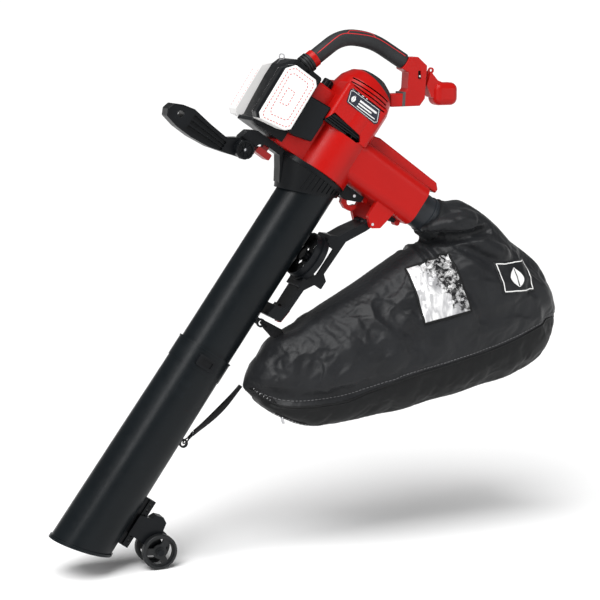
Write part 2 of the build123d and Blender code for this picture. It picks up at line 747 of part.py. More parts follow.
def wheel(side):
    y = side * WHEEL_Y
    half = WHEEL_WIDTH / 2
    tread = roller(AXLE, y - half, y + half, WHEEL_R)
    tread = fillet(tread.edges(), 3)
    hollow = roller(AXLE, y - half - 1, y + half + 1, WHEEL_R - 6)
    web = roller(AXLE, y - 2.5, y + 2.5, WHEEL_R - 5.5)
    hole = roller(AXLE, y - 5, y + 5, 27) - roller(AXLE, y - 6, y + 6, 15)
    for k in range(3):
        spoke = Pos(AXLE[0], 0, AXLE[1]) * Rot(0, 120 * k + 30, 0) * block(0, 40, y - 9, y + 9, -7, 7)
        hole -= spoke
    body = tread - hollow + web - hole + roller(AXLE, y - half - 1, y + half, 9)
    return body - roller(AXLE, y - 20, y + 20, AXLE_R + RUN)


def axle_caps():
    caps = []
    for side in (-1, 1):
        y0, y1 = sorted((side * 33.4, side * 36.4))
        cap = roller(AXLE, y0, y1, 7) - roller(AXLE, *sorted((side * 30, side * 35)), AXLE_R)
        caps.append(cap)
    return parts_of(*caps)


# ---------- outlet pipe, bag and straps ----------

def outlet_pipe():
    tube = pipe(0, PIPE_W, 207, PIPE_END, PIPE_R) + pipe(0, PIPE_W, 207, 213.4, PIPE_R + 0.9)
    tube += pipe(0, PIPE_W, 258, 261, PIPE_R + 2)
    return tube - pipe(0, PIPE_W, 200, PIPE_END + 5, PIPE_R - 2.5)


def bag_collar():
    ring = pipe(0, PIPE_W, 270, 294, PIPE_R + 6) - pipe(0, PIPE_W, 265, 300, PIPE_R + 0.2)
    return fillet(ring.edges().sort_by(Axis.X)[-1], 2)


# The bag, strap and upper tab are described as they hang, in the leaned frame (x, z).
LEAN = Pos(0, 0, 0) * Rot(0, TILT, 0)
BAG_SECTIONS = [(-24, -246, -268, 14), (0, -222, -297, 58), (60, -163, -333, 96), (165, -92, -333, 116),
                (270, -26, -325, 125), (375, 48, -303, 125), (480, 66, -284, 125), (570, 60, -262, 116),
                (640, 12, -240, 96), (690, -70, -190, 52), (702, -112, -150, 20)]
BAG_CORNER = (-36.0, -243.0)
BAG_MIDDLE = 340.0                   # x of the bag's middle
BAG_WALL = 2.0
NECK_START, NECK_END = 294.2, 420.0  # u where the bag's neck leaves its collar and where it has opened out


def bag_form(g):
    """The bag and its neck as one body, inset by g."""
    rings = []
    for x, top, low, half in BAG_SECTIONS:
        inward = math.copysign(g, BAG_MIDDLE - x)
        ellipse = Ellipse(half - g, (top - low) / 2 - g)
        rings.append(Plane.YZ.offset(x + inward) * Pos(0, (top + low) / 2) * ellipse)
    neck_start = LEAN * (Pos(NECK_START + g, 0, PIPE_W) * Rot(0, 90, 0) * Circle(PIPE_R + 6 - g))
    neck_end = LEAN * (Pos(NECK_END - g, 0, PIPE_W + 6) * Rot(0, 90, 0) * Ellipse(72 - g, 84 - g))
    room = LEAN * pipe(0, PIPE_W, 200, NECK_START + g, PIPE_R + 6.4 + g)
    return loft(rings) + loft([neck_start, neck_end]) - room


def bag_body():
    """The bag as it hangs full of air: a closed skin over a sealed hollow."""
    return bag_form(0) - bag_form(BAG_WALL)


def standing(u, w):
    """A point of the upright frame as it lies in the leaned frame."""
    t = math.radians(TILT)
    return (u * math.cos(t) + w * math.sin(t), -u * math.sin(t) + w * math.cos(t))


def web(start, end, width, thickness):
    """A straight flat strap between two points of the leaned frame."""
    length = math.hypot(end[0] - start[0], end[1] - start[1])
    slope = math.degrees(math.atan2(end[1] - start[1], end[0] - start[0]))
    middle = Pos((start[0] + end[0]) / 2, 0, (start[1] + end[1]) / 2)
    return middle * Rot(0, -slope, 0) * Box(length, width, thickness)


def towards(start, end, s):
    length = math.hypot(end[0] - start[0], end[1] - start[1])
    return (start[0] + (end[0] - start[0]) * s / length, start[1] + (end[1] - start[1]) * s / length)


def snap_hook(spot, end):
    """A hook threaded through a tube eye, with its swivel barrel and strap bar."""
    slope = math.degrees(math.atan2(end[1] - spot[1], end[0] - spot[0]))
    loop = Torus(7.5, 1.5)
    barrel = Pos(13, 0, 0) * Rot(0, 90, 0) * Cylinder(3.6, 11)
    swivel = Pos(21, 0, 0) * (Box(7, 14, 4) - Box(3.6, 10, 6))
    hook = loop + barrel + swivel
    centre = towards(spot, end, 7.5)
    return Pos(centre[0], 0, centre[1]) * Rot(0, -slope, 0) * hook


LOWER_EYE = standing(*EYE_LOW)
UPPER_EYE = standing(*EYE_HIGH)
UPPER_TAB = (40.0, -137.0)


def lower_hook():
    return snap_hook(LOWER_EYE, BAG_CORNER)


def upper_hook():
    return snap_hook(UPPER_EYE, UPPER_TAB)


def bag_strap():
    start = towards(LOWER_EYE, BAG_CORNER, 33)
    return web(start, (BAG_CORNER[0], BAG_CORNER[1]), 12, 2)


# ---------- writing ----------

def leaned(shape):
    return Rot(0, TILT, 0) * shape


GRIP = standing(*GRIP_POINT)


def machine_nodes():
    shell = housing_shell()
    bracket = rear_bracket()
    nodes = {
        "suction_tube_upper": suction_tube_upper(),
        "suction_tube_lower": suction_tube_lower(),
        "collar_clips": collar_clips(),
        "funnel_adapter": funnel_adapter(),
        "intake_seal": intake_seal(),
        "front_latch": front_latch(),
        "release_lever": release_lever(),
        "hinge_pins": parts_of(lever_pin(), cover_hinge_pin()),
        "housing_left": housing_half(shell, -1),
        "housing_right": housing_half(shell, 1),
        "motor_cap": motor_cap(),
        "vent_screen": vent_screen(),
        "side_louvres": side_louvres(),
        "nameplate": nameplate(),
        "housing_screws": parts_of(housing_screws(), bracket_screws()),
        "outlet_clip": outlet_clip(),
        "bearing_deck": bearing_deck(),
        "shaft_bearings": parts_of(bearing(DECK_TOP - 2, DECK_TOP + 5), bearing(410, 417)),
        "motor_stator": motor_stator(),
        "motor_rotor": motor_rotor(),
        "impeller": impeller(),
        "mulching_blade": mulching_blade(),
        "blade_nut": blade_nut(),
        "controller_board": controller_board(),
        "battery_holder": battery_holder(),
        "strap_eye_front": strap_eye_front(),
        "handle_bellows": handle_bellows(),
        "grip_ring": grip_ring(),
        "grip_sleeve": grip_sleeve(),
        "handle_left": handle_half(-1),
        "handle_right": handle_half(1),
        "bracket_left": bracket_half(bracket, -1),
        "bracket_right": bracket_half(bracket, 1),
        "seam_band": seam_band(),
        "power_switch": power_switch(),
        "switch_block": switch_block(),
        "rear_pod": rear_pod(),
        "speed_dial": speed_dial(),
        "aux_handle": aux_handle(),
        "clamp_bolt": clamp_bolt(),
        "clamp_knob": clamp_knob(),
        "intake_cover": intake_cover(),
        "cover_bowl": cover_bowl(),
        "cover_latch": cover_latch(),
        "cover_latch_pin": cover_latch_pin(),
        "wheel_rail": wheel_rail(),
        "wheel_carrier": wheel_carrier(),
        "wheel_axle": wheel_axle(),
        "wheel_left": wheel(-1),
        "wheel_right": wheel(1),
        "axle_caps": axle_caps(),
        "outlet_pipe": outlet_pipe(),
        "bag_collar": bag_collar(),
    }
    for side, name in ((-1, "left"), (1, "right")):
        nodes["battery_" + name] = battery_pack(side)
        nodes["battery_button_" + name] = battery_button(side)
    return nodes


def hanging_nodes():
    return {
        "bag_body": bag_body(),
        "bag_strap": bag_strap(),
        "snap_hooks": parts_of(lower_hook(), upper_hook()),
    }


def all_nodes():
    """Every node in the row's frame, whose origin is the grip's mount."""
    nodes = {name: leaned(shape) for name, shape in machine_nodes().items()}
    nodes.update(hanging_nodes())
    return {name: Pos(-GRIP[0], 0, -GRIP[1]) * shape for name, shape in nodes.items()}


if __name__ == "__main__":
    for name, shape in all_nodes().items():
        export_step(shape, "parts/" + name + ".step")
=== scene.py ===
import json
import math

import bmesh
import bpy
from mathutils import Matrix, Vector, noise
from mathutils.bvhtree import BVHTree


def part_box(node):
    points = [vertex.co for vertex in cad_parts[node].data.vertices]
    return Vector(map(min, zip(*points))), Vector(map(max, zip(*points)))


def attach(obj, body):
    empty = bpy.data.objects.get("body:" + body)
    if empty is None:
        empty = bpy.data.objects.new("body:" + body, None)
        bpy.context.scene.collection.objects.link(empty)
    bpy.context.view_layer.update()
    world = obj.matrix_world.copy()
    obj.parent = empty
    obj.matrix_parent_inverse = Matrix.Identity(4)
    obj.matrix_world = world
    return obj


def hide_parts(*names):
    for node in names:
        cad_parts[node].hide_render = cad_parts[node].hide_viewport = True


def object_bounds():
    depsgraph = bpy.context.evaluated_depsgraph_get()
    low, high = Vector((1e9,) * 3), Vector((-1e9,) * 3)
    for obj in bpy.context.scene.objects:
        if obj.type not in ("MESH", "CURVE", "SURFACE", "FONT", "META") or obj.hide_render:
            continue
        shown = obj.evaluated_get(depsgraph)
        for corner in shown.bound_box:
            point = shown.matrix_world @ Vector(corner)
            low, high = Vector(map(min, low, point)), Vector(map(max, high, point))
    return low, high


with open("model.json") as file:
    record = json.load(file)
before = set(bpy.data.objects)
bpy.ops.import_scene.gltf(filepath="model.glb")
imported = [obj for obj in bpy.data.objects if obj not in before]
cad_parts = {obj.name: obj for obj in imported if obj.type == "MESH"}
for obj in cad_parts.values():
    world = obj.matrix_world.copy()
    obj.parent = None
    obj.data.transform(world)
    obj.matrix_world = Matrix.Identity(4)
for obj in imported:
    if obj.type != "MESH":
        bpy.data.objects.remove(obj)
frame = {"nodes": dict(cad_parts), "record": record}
nodes = frame["nodes"]
record = frame["record"]
ROOT = "machine"
cad_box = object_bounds()

# The upright frame of the machine: u forward to back, w up the suction tube, in mm. It leans by TILT
# about the middle of the grip, which is the row's origin.
TILT = math.radians(35.3)
GRIP_UW = (0.0, 536.75)
COS, SIN = math.cos(TILT), math.sin(TILT)
GRIP_XZ = (GRIP_UW[0] * COS + GRIP_UW[1] * SIN, -GRIP_UW[0] * SIN + GRIP_UW[1] * COS)


def leaned(x, z, y=0.0):
    """A point of the leaned frame in mm, as a row point in metres."""
    return Vector(((x - GRIP_XZ[0]) / 1000, y / 1000, (z - GRIP_XZ[1]) / 1000))


def at(u, w, y=0.0):
    """A point of the upright frame in mm, as a row point in metres."""
    return leaned(u * COS + w * SIN, -u * SIN + w * COS, y)


def leaned_xz(p):
    """The leaned frame's x and z, in mm, of a row point."""
    return p.x * 1000 + GRIP_XZ[0], p.z * 1000 + GRIP_XZ[1]


# ---------------------------------------------------------------- camera

AIM = at(121, 0)
AZIMUTH, ELEVATION = math.radians(-22.5), math.radians(9.8)
DISTANCE = 3.78
LENS = 108.0

away = Vector((math.sin(AZIMUTH) * math.cos(ELEVATION), -math.cos(AZIMUTH) * math.cos(ELEVATION),
               math.sin(ELEVATION)))
camera = bpy.data.objects.new("camera", bpy.data.cameras.new("camera"))
camera.location = AIM + away * DISTANCE
camera.rotation_euler = (-away).to_track_quat("-Z", "Y").to_euler()
camera.data.lens = LENS
camera.data.sensor_width = 36.0
bpy.context.collection.objects.link(camera)
bpy.context.scene.camera = camera


# ---------------------------------------------------------------- materials

class Graph:
    """A short way to write a node material."""

    def __init__(self, name):
        self.mat = bpy.data.materials.new(name)
        self.mat.use_nodes = True
        self.tree = self.mat.node_tree
        self.shader = self.tree.nodes["Principled BSDF"]
        self.coords = self.tree.nodes.new("ShaderNodeTexCoord").outputs["Object"]

    def add(self, kind, **sockets):
        node = self.tree.nodes.new(kind)
        for key, value in sockets.items():
            self.put(node, key.replace("_", " "), value)
        return node

    def put(self, node, key, value):
        socket = node.inputs[key]
        if isinstance(value, bpy.types.NodeSocket):
            self.tree.links.new(value, socket)
        else:
            socket.default_value = value

    def noise(self, scale, detail=3.0, rough=0.55, vector=None):
        return self.add("ShaderNodeTexNoise", Vector=vector or self.coords, Scale=scale, Detail=detail,
                        Roughness=rough).outputs["Fac"]

    def stretch(self, x, y, z):
        node = self.add("ShaderNodeMapping", Vector=self.coords)
        node.inputs["Scale"].default_value = (x, y, z)
        return node.outputs["Vector"]

    def ramp(self, value, stops):
        node = self.add("ShaderNodeValToRGB", Fac=value)
        band = node.color_ramp
        while len(band.elements) < len(stops):
            band.elements.new(0.5)
        for element, (place, colour) in zip(band.elements, stops):
            element.position = place
            element.color = (*colour, 1.0) if len(colour) == 3 else colour
        return node.outputs["Color"]

    def grey(self, value, low, high, start=0.3, end=0.7):
        node = self.add("ShaderNodeMapRange", Value=value)
        node.inputs["From Min"].default_value = start
        node.inputs["From Max"].default_value = end
        node.inputs["To Min"].default_value = low
        node.inputs["To Max"].default_value = high
        return node.outputs["Result"]

    def math(self, how, a, b):
        node = self.tree.nodes.new("ShaderNodeMath")
        node.operation = how
        self.put(node, 0, a)
        self.put(node, 1, b)
        return node.outputs[0]

    def mix(self, how, fac, a, b):
        node = self.tree.nodes.new("ShaderNodeMixRGB")
        node.blend_type = how
        self.put(node, "Fac", fac)
        self.put(node, "Color1", a)
        self.put(node, "Color2", b)
        return node.outputs["Color"]

    def bump(self, height, strength, distance, normal=None):
        node = self.add("ShaderNodeBump", Height=height, Strength=strength, Distance=distance)
        if normal:
            self.put(node, "Normal", normal)
        return node.outputs["Normal"]

    def finish(self, **sockets):
        for key, value in sockets.items():
            self.put(self.shader, key.replace("_", " "), value)
        return self.mat


def scaled(colour, k):
    return tuple(min(1.0, c * k) for c in colour)


def moulded(name, colour, rough=0.42, grain=1400.0, depth=0.05, edge=1.5, coat=0.0, spread=0.16,
            gloss=0.3):
    """Moulded plastic: fine spark-eroded grain, faint flow marks, rubbed edges."""
    g = Graph(name)
    flow = g.noise(9.0, 4.0)
    tone = g.ramp(flow, [(0.25, scaled(colour, 1 - spread)), (0.75, scaled(colour, 1 + spread))])
    worn = g.add("ShaderNodeNewGeometry").outputs["Pointiness"]
    worn = g.grey(worn, 0.0, 0.55, 0.53, 0.62)
    tone = g.mix("MIX", worn, tone, (*scaled(colour, edge), 1.0))
    grainy = g.noise(grain, 2.0)
    normal = g.bump(grainy, depth, 0.0006)
    normal = g.bump(g.noise(38.0, 2.0), 0.05, 0.002, normal)
    shine = g.grey(g.noise(55.0, 3.0), rough - 0.05, rough + 0.07)
    return g.finish(Base_Color=tone, Roughness=shine, Normal=normal, Coat_Weight=coat, Coat_Roughness=0.25,
                    Specular_IOR_Level=gloss)


def rubber(name, colour, rough=0.62, cell=620.0):
    """Soft over-moulded rubber with a fine stipple."""
    g = Graph(name)
    cells = g.add("ShaderNodeTexVoronoi", Vector=g.coords, Scale=cell).outputs["Distance"]
    tone = g.ramp(g.noise(22.0, 4.0), [(0.3, scaled(colour, 0.82)), (0.7, scaled(colour, 1.2))])
    normal = g.bump(cells, 0.35, 0.0005)
    return g.finish(Base_Color=tone, Roughness=g.grey(g.noise(70.0), rough - 0.06, rough + 0.08),
                    Normal=normal, Specular_IOR_Level=0.3)


def metal(name, colour, rough=0.3, lines=900.0):
    """Turned or ground metal with fine tool lines."""
    g = Graph(name)
    drawn = g.noise(lines, 2.0, 0.6, g.stretch(0.08, 1.0, 1.0))
    tone = g.ramp(drawn, [(0.3, scaled(colour, 0.8)), (0.7, scaled(colour, 1.1))])
    return g.finish(Base_Color=tone, Metallic=1.0, Roughness=g.grey(drawn, rough - 0.08, rough + 0.1),
                    Normal=g.bump(drawn, 0.08, 0.0003))


def woven(name, colour, pitch=1500.0, sheen=0.25, rough=0.7, spread=0.25):
    """Plain-weave polyester: crossing yarns, uneven dye and a soft sheen."""
    g = Graph(name)
    yarns = []
    for axis, turn in (("X", (1.0, 0.15, 0.6)), ("Z", (0.2, 0.4, 1.0))):
        wave = g.add("ShaderNodeTexWave", Vector=g.stretch(*turn), Scale=pitch / 6.283, Distortion=1.5,
                     Detail=2.0)
        wave.bands_direction = axis
        yarns.append(wave.outputs["Fac"])
    weave = g.math("MULTIPLY", yarns[0], yarns[1])
    cloudy = g.noise(14.0, 5.0, 0.6)
    tone = g.ramp(cloudy, [(0.3, scaled(colour, 1 - spread)), (0.7, scaled(colour, 1 + spread))])
    tone = g.mix("MULTIPLY", 0.35, tone, g.ramp(weave, [(0.0, (0.5, 0.5, 0.5)), (0.8, (1.0, 1.0, 1.0))]))
    normal = g.bump(weave, 0.25, 0.0004)
    normal = g.bump(g.noise(120.0, 4.0), 0.18, 0.0015, normal)
    return g.finish(Base_Color=tone, Roughness=g.grey(cloudy, rough - 0.06, rough + 0.08), Normal=normal,
                    Sheen_Weight=sheen, Sheen_Roughness=0.4, Specular_IOR_Level=0.2)


# Where the film's dark corner, with its painted glints, begins, on the weighted sum of its x and z.
CORNER_DARK = -2.12


def film(name):
    """The bag's crinkled clear window: its colour paints the film's reflection as silky white and grey bands,
    and one corner nearly black with small painted glints.
    """
    g = Graph(name)
    folds = g.add("ShaderNodeTexVoronoi", Vector=g.stretch(1.0, 1.0, 0.7), Scale=60.0)
    folds.feature = "SMOOTH_F1"
    crinkle = g.math("MULTIPLY", folds.outputs["Distance"], g.noise(90.0, 4.0))
    painted_reflection = g.noise(15.0, 3.0, 0.5, g.stretch(2.2, 1.0, 0.55))
    # The base colour paints the film's reflection as white and grey bands.
    tone = g.ramp(painted_reflection, [(0.36, (0.28, 0.28, 0.29)), (0.44, (0.48, 0.48, 0.49)), (0.5, (0.72, 0.72, 0.72)),
                          (0.56, (0.4, 0.4, 0.41)), (0.62, (0.74, 0.74, 0.74))])
    far = g.add("ShaderNodeSeparateXYZ", Vector=g.coords)
    corner = g.math("ADD", g.math("MULTIPLY", far.outputs["X"], 9.0),
                    g.math("MULTIPLY", far.outputs["Z"], 7.0))
    corner = g.math("ADD", corner, g.math("MULTIPLY", g.noise(70.0, 5.0, 0.7), 1.3))
    dark = g.grey(corner, 0.0, 1.0, CORNER_DARK, CORNER_DARK + 0.12)
    # In the dark corner the colour is nearly black, with painted glints scattered in it.
    tone = g.mix("MIX", dark, tone, g.ramp(g.noise(75.0, 4.0, 0.65), [(0.5, (0.008, 0.008, 0.009)),
                                                                     (0.66, (0.6, 0.6, 0.6))]))
    return g.finish(Base_Color=tone, Roughness=g.grey(crinkle, 0.12, 0.35),
                    Normal=g.bump(crinkle, 0.5, 0.003), Coat_Weight=0.4, Coat_Roughness=0.1)


RED = (0.385, 0.0048, 0.0034)
BLACK = (0.0038, 0.0044, 0.0053)
MATERIALS = {
    "tube_black": moulded("tube_black", (0.0044, 0.0062, 0.0076), rough=0.34, grain=900.0, depth=0.05,
                          edge=1.6, coat=0.1, spread=0.16, gloss=0.11),
    "trim_black": moulded("trim_black", BLACK, rough=0.36, grain=1300.0, depth=0.07, edge=2.2, coat=0.08,
                          spread=0.16, gloss=0.1),
    "pipe_grey": moulded("pipe_grey", (0.0155, 0.019, 0.0235), rough=0.42, grain=1100.0, depth=0.06,
                         edge=1.5),
    "housing_red": moulded("housing_red", RED, rough=0.34, grain=1600.0, depth=0.035, edge=1.12, coat=0.08,
                           spread=0.07, gloss=0.13),
    "latch_red": moulded("latch_red", scaled(RED, 0.6), rough=0.36, grain=1500.0, depth=0.04, edge=1.4,
                         coat=0.1, spread=0.1),
    "grip_rubber": rubber("grip_rubber", (0.0165, 0.0175, 0.019)),
    "boot_rubber": rubber("boot_rubber", (0.011, 0.012, 0.013), rough=0.55, cell=500.0),
    "band_grey": rubber("band_grey", (0.07, 0.065, 0.065), rough=0.6),
    "plate_dark": moulded("plate_dark", (0.005, 0.007, 0.018), rough=0.2, grain=1800.0, depth=0.01, edge=1.3,
                          coat=0.3),
    "pack_white": moulded("pack_white", (0.80, 0.79, 0.78), rough=0.5, grain=1300.0, depth=0.04, edge=1.0,
                          coat=0.0, spread=0.03),
    "steel": metal("steel", (0.62, 0.62, 0.64)),
    "blade_steel": metal("blade_steel", (0.5, 0.5, 0.52), rough=0.35, lines=700.0),
    "motor_metal": metal("motor_metal", (0.55, 0.55, 0.56), rough=0.45, lines=500.0),
    "board_green": moulded("board_green", (0.02, 0.16, 0.05), rough=0.3, grain=1500.0, depth=0.03),
    "seal_foam": rubber("seal_foam", (0.03, 0.03, 0.03), rough=0.9, cell=400.0),
    "bag_fabric": woven("bag_fabric", (0.0122, 0.0130, 0.0146), pitch=1500.0, sheen=0.05, rough=0.42),
    "webbing": woven("webbing", (0.009, 0.009, 0.01), pitch=2600.0, sheen=0.1, rough=0.7),
    "tyre_rubber": rubber("tyre_rubber", (0.011, 0.012, 0.013), rough=0.5, cell=300.0),
}
GUSSET = woven("gusset_fabric", (0.0060, 0.0064, 0.0068), pitch=1300.0, sheen=0.03, rough=0.6)
FILM = film("window_film")
MARK_WHITE = moulded("mark_white", (0.74, 0.74, 0.73), rough=0.4, grain=1500.0, depth=0.02, edge=1.0,
                     coat=0.0, spread=0.05)
LINE_RED = moulded("line_red", (0.52, 0.02, 0.025), rough=0.4, grain=1500.0, depth=0.02, edge=1.1, coat=0.0,
                   spread=0.06)
THREAD = woven("thread", (0.14, 0.14, 0.145), pitch=3000.0, sheen=0.1)

slot_of = {row["node"]: row["material_slot"] for row in record["subparts"]}
for name, node in nodes.items():
    for slot in node.material_slots:
        slot.material = MATERIALS[slot_of[name]]


# ---------------------------------------------------------------- mesh helpers

def piece(name, verts, faces, material, body=ROOT, smooth=True):
    """A mesh of its own that rides on a body."""
    mesh = bpy.data.meshes.new(name)
    mesh.from_pydata([tuple(v) for v in verts], [], faces)
    mesh.update()
    bm = bmesh.new()
    bm.from_mesh(mesh)
    bmesh.ops.recalc_face_normals(bm, faces=bm.faces)
    bm.to_mesh(mesh)
    bm.free()
    obj = bpy.data.objects.new(name, mesh)
    bpy.context.collection.objects.link(obj)
    if smooth:
        mesh.shade_smooth()
    mesh.materials.append(material)
    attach(obj, body)
    return obj


def apply_modifiers(obj):
    graph = bpy.context.evaluated_depsgraph_get()
    mesh = bpy.data.meshes.new_from_object(obj.evaluated_get(graph))
    old = obj.data
    obj.modifiers.clear()
    obj.data = mesh
    mesh.name = old.name
    bpy.data.meshes.remove(old)


def catmull(a, b, c, d, t):
    """The Catmull-Rom blend from b to c, for numbers and for vectors."""
    return 0.5 * (2 * b + (c - a) * t + (2 * a - 5 * b + 4 * c - d) * t * t
                  + (3 * b - a - 3 * c + d) * t ** 3)


def smooth_line(points, steps=8, closed=False):
    """Catmull-Rom points through a list of vectors."""
    pts = [Vector(p) for p in points]
    n = len(pts)
    out = []
    spans = n if closed else n - 1
    for i in range(spans):
        p1, p2 = pts[i], pts[(i + 1) % n]
        p0 = pts[i - 1] if (closed or i) else p1 + (p1 - p2)
        p3 = pts[(i + 2) % n] if (closed or i + 2 < n) else p2 + (p2 - p1)
        for k in range(steps):
            out.append(catmull(p0, p1, p2, p3, k / steps))
    if not closed:
        out.append(pts[-1])
    return out


def swept(line, profile, closed=False, up=Vector((0, 1, 0))):
    """Vertices and faces of a (side, up) profile in metres, swept along a line. up may be a list."""
    n, m = len(line), len(profile)
    verts, faces = [], []
    for i, p in enumerate(line):
        a = line[i - 1] if (closed or i) else line[0]
        b = line[(i + 1) % n] if (closed or i + 1 < n) else line[-1]
        ahead = (b - a).normalized()
        top = up[i] if isinstance(up, list) else up
        side = ahead.cross(top)
        side = side.normalized() if side.length > 1e-6 else Vector((1, 0, 0))
        rise = side.cross(ahead).normalized()
        verts += [p + side * s + rise * r for s, r in profile]
    spans = n if closed else n - 1
    for i in range(spans):
        for k in range(m):
            a, b = i * m + k, i * m + (k + 1) % m
            c, d = ((i + 1) % n) * m + (k + 1) % m, ((i + 1) % n) * m + k
            faces.append((a, b, c, d))
    if not closed:
        faces.append(tuple(range(m)))
        faces.append(tuple((n - 1) * m + k for k in reversed(range(m))))
    return verts, faces


def ring_profile(r, count=8):
    return [(r * math.cos(2 * math.pi * k / count), r * math.sin(2 * math.pi * k / count))
            for k in range(count)]


def flat_profile(width, thick):
    w, t = width / 2, thick / 2
    return [(-w, -t), (w, -t), (w + 0.2 * t, 0), (w, t), (-w, t), (-w - 0.2 * t, 0)]


def joined(name, chunks, material, body=ROOT, smooth=True):
    """One object of several separate meshes."""
    verts, faces = [], []
    for some, shapes in chunks:
        base = len(verts)
        verts += some
        faces += [tuple(i + base for i in face) for face in shapes]
    return piece(name, verts, faces, material, body, smooth)


# ---------------------------------------------------------------- bag

# Stations of the hanging bag in the leaned frame, mm: x, top, seam, bottom, half width.
BAG = [(-33, -236, -243, -250, 5), (-8, -196, -262, -272, 42), (34, -146, -276, -307, 76),
       (92, -115, -276, -334, 97), (160, -80, -268, -334, 108), (230, -43, -250, -328, 115),
       (298, -2, -230, -319, 120), (366, 36, -216, -304, 123), (432, 62, -202, -296, 123),
       (494, 68, -188, -281, 119), (562, 48, -170, -269, 111), (620, 10, -152, -250, 96),
       (652, -18, -140, -233, 80), (690, -76, -136, -180, 42), (702, -112, -134, -152, 12)]
# Rings of the neck round the outlet pipe's axis, mm: u, height above it, depth below it, half width.
NECK = [(268, 46.5, 46.5, 46.5), (284, 48, 47.5, 48), (296, 58, 50, 55), (312, 69, 54, 66),
        (340, 74, 58, 76), (372, 75, 60, 80), (410, 72, 60, 84), (450, 64, 55, 82)]
PIPE_W = 304.0      # height of the outlet pipe's axis
VOXEL = 0.0055      # m, the grid that welds body and neck
BAG_RINGS = 70


def station(x):
    """The bag's section numbers at any x, blended smoothly between the stations."""
    xs = [row[0] for row in BAG]
    x = min(max(x, xs[0]), xs[-1])
    i = max(k for k in range(len(xs) - 1) if xs[k] <= x or k == 0)
    t = (x - xs[i]) / (xs[i + 1] - xs[i])
    rows = [BAG[max(i - 1, 0)], BAG[i], BAG[i + 1], BAG[min(i + 2, len(BAG) - 1)]]
    return [catmull(a, b, c, d, t) for a, b, c, d in zip(*[row[1:] for row in rows])]


def bag_ring(x, count=72):
    """One section: a panel each side, fullest above the seam, and a gusset that sags under."""
    top, seam, low, half = station(x)
    ring = []
    for k in range(count):
        a = 2 * math.pi * k / count
        c, s = math.cos(a), math.sin(a)
        if s >= 0:
            full = 0.95 + 0.09 * math.sin(math.pi * min(1.0, s / 0.8))
            y = half * full * math.copysign(abs(c) ** 0.85, c)
            z = seam + (top - seam) * s ** 0.92
        else:
            y = 0.95 * half * math.copysign(abs(c) ** 0.7, c)
            z = seam - (seam - low) * abs(s) ** 0.9
        ring.append(leaned(x, z, y))
    return ring


def neck_ring(u, up, down, half, count=56):
    ring = []
    for k in range(count):
        a = 2 * math.pi * k / count
        reach = up if math.sin(a) > 0 else down
        ring.append(at(u, PIPE_W + reach * math.sin(a), half * math.cos(a)))
    return ring


def tube_mesh(rings):
    count = len(rings[0])
    verts = [v for ring in rings for v in ring]
    faces = []
    for i in range(len(rings) - 1):
        for k in range(count):
            a, b = i * count + k, i * count + (k + 1) % count
            faces.append((a, b, b + count, a + count))
    faces.append(tuple(range(count)))
    faces.append(tuple(len(verts) - count + k for k in reversed(range(count))))
    return verts, faces


def bag_start():
    """The bag's body and neck, welded into one closed skin."""
    length = BAG[-1][0] - BAG[0][0]
    body = tube_mesh([bag_ring(BAG[0][0] + length * i / BAG_RINGS) for i in range(BAG_RINGS + 1)])
    neck = tube_mesh([neck_ring(*row) for row in NECK])
    skin = joined("bag_body_cloth", [body, neck], MATERIALS["bag_fabric"])
    remesh = skin.modifiers.new("skin", "REMESH")
    remesh.mode = "VOXEL"
    remesh.voxel_size = VOXEL
    relax = skin.modifiers.new("relax", "SMOOTH")
    relax.factor = 0.6
    relax.iterations = 12
    apply_modifiers(skin)
    return skin


neck_axis = (at(400, PIPE_W) - at(300, PIPE_W)).normalized()
neck_up = neck_axis.cross(Vector((0, 1, 0))).normalized()


def neck_place(p):
    """How far along the neck a point is, in mm, its angle round it and its distance from the axis."""
    d = p - at(NECK[0][0], PIPE_W)
    s = d.dot(neck_axis)
    off = d - neck_axis * s
    return s * 1000, math.atan2(off.dot(neck_up), off.y), off.length * 1000


# Where the gathers begin along the neck, how soon they are full and where they end, mm.
GATHER_START, GATHER_RISE, GATHER_END = 14, 30, 230


def gathers(p):
    """Depth in mm of the folds gathered into the collar, fading along the bag."""
    s, angle, _ = neck_place(p)
    fade = max(0.0, 1 - s / GATHER_END) * min(1.0, max(0.0, s - GATHER_START) / GATHER_RISE)
    wander = 1.3 * noise.noise(p * 9)
    return fade * (2.6 * math.sin(9 * angle + 3 * wander) + 1.6 * math.sin(17 * angle + 2.2 + 5 * wander))


# Folds in the near panel: points (x, z) in the leaned frame, then depth and half width in mm. A depth
# below 0 is a ridge. The far panel has the same folds, shifted and bent a little.
FOLD_REACH = 70     # mm from its start beyond which a short piece of fold does nothing
FOLDS = [([(348, 58), (392, 50), (453, 56), (505, 66)], 17, 10),
         ([(360, 70), (418, 84), (474, 93)], -9, 11),
         ([(352, 50), (366, 13)], 7, 7), ([(346, 50), (313, 22)], 6, 7), ([(372, 46), (404, 10)], 6, 8),
         ([(398, 44), (470, 24), (520, -20)], 6, 15), ([(470, 40), (540, 14)], -5, 15),
         ([(255, -90), (276, -114), (303, -142), (320, -176)], 5, 20),
         ([(142, -125), (182, -172)], -3, 20), ([(120, -140), (150, -190)], 2.5, 18),
         ([(-24, -252), (52, -264), (150, -257), (240, -238)], 8, 16),
         ([(84, -200), (48, -230), (20, -254)], 7, 24), ([(60, -190), (30, -215)], -2, 20),
         ([(79, -204), (150, -219), (218, -194), (320, -186), (440, -108)], -4.5, 20),
         ([(20, -160), (31, -197)], 2.5, 16), ([(600, -60), (640, -110), (660, -150)], 6, 16),
         ([(640, -40), (600, 0)], 5, 14), ([(450, -120), (520, -110), (590, -100)], 4, 18),
         ([(430, -30), (452, -70), (470, -110)], 4, 14)]


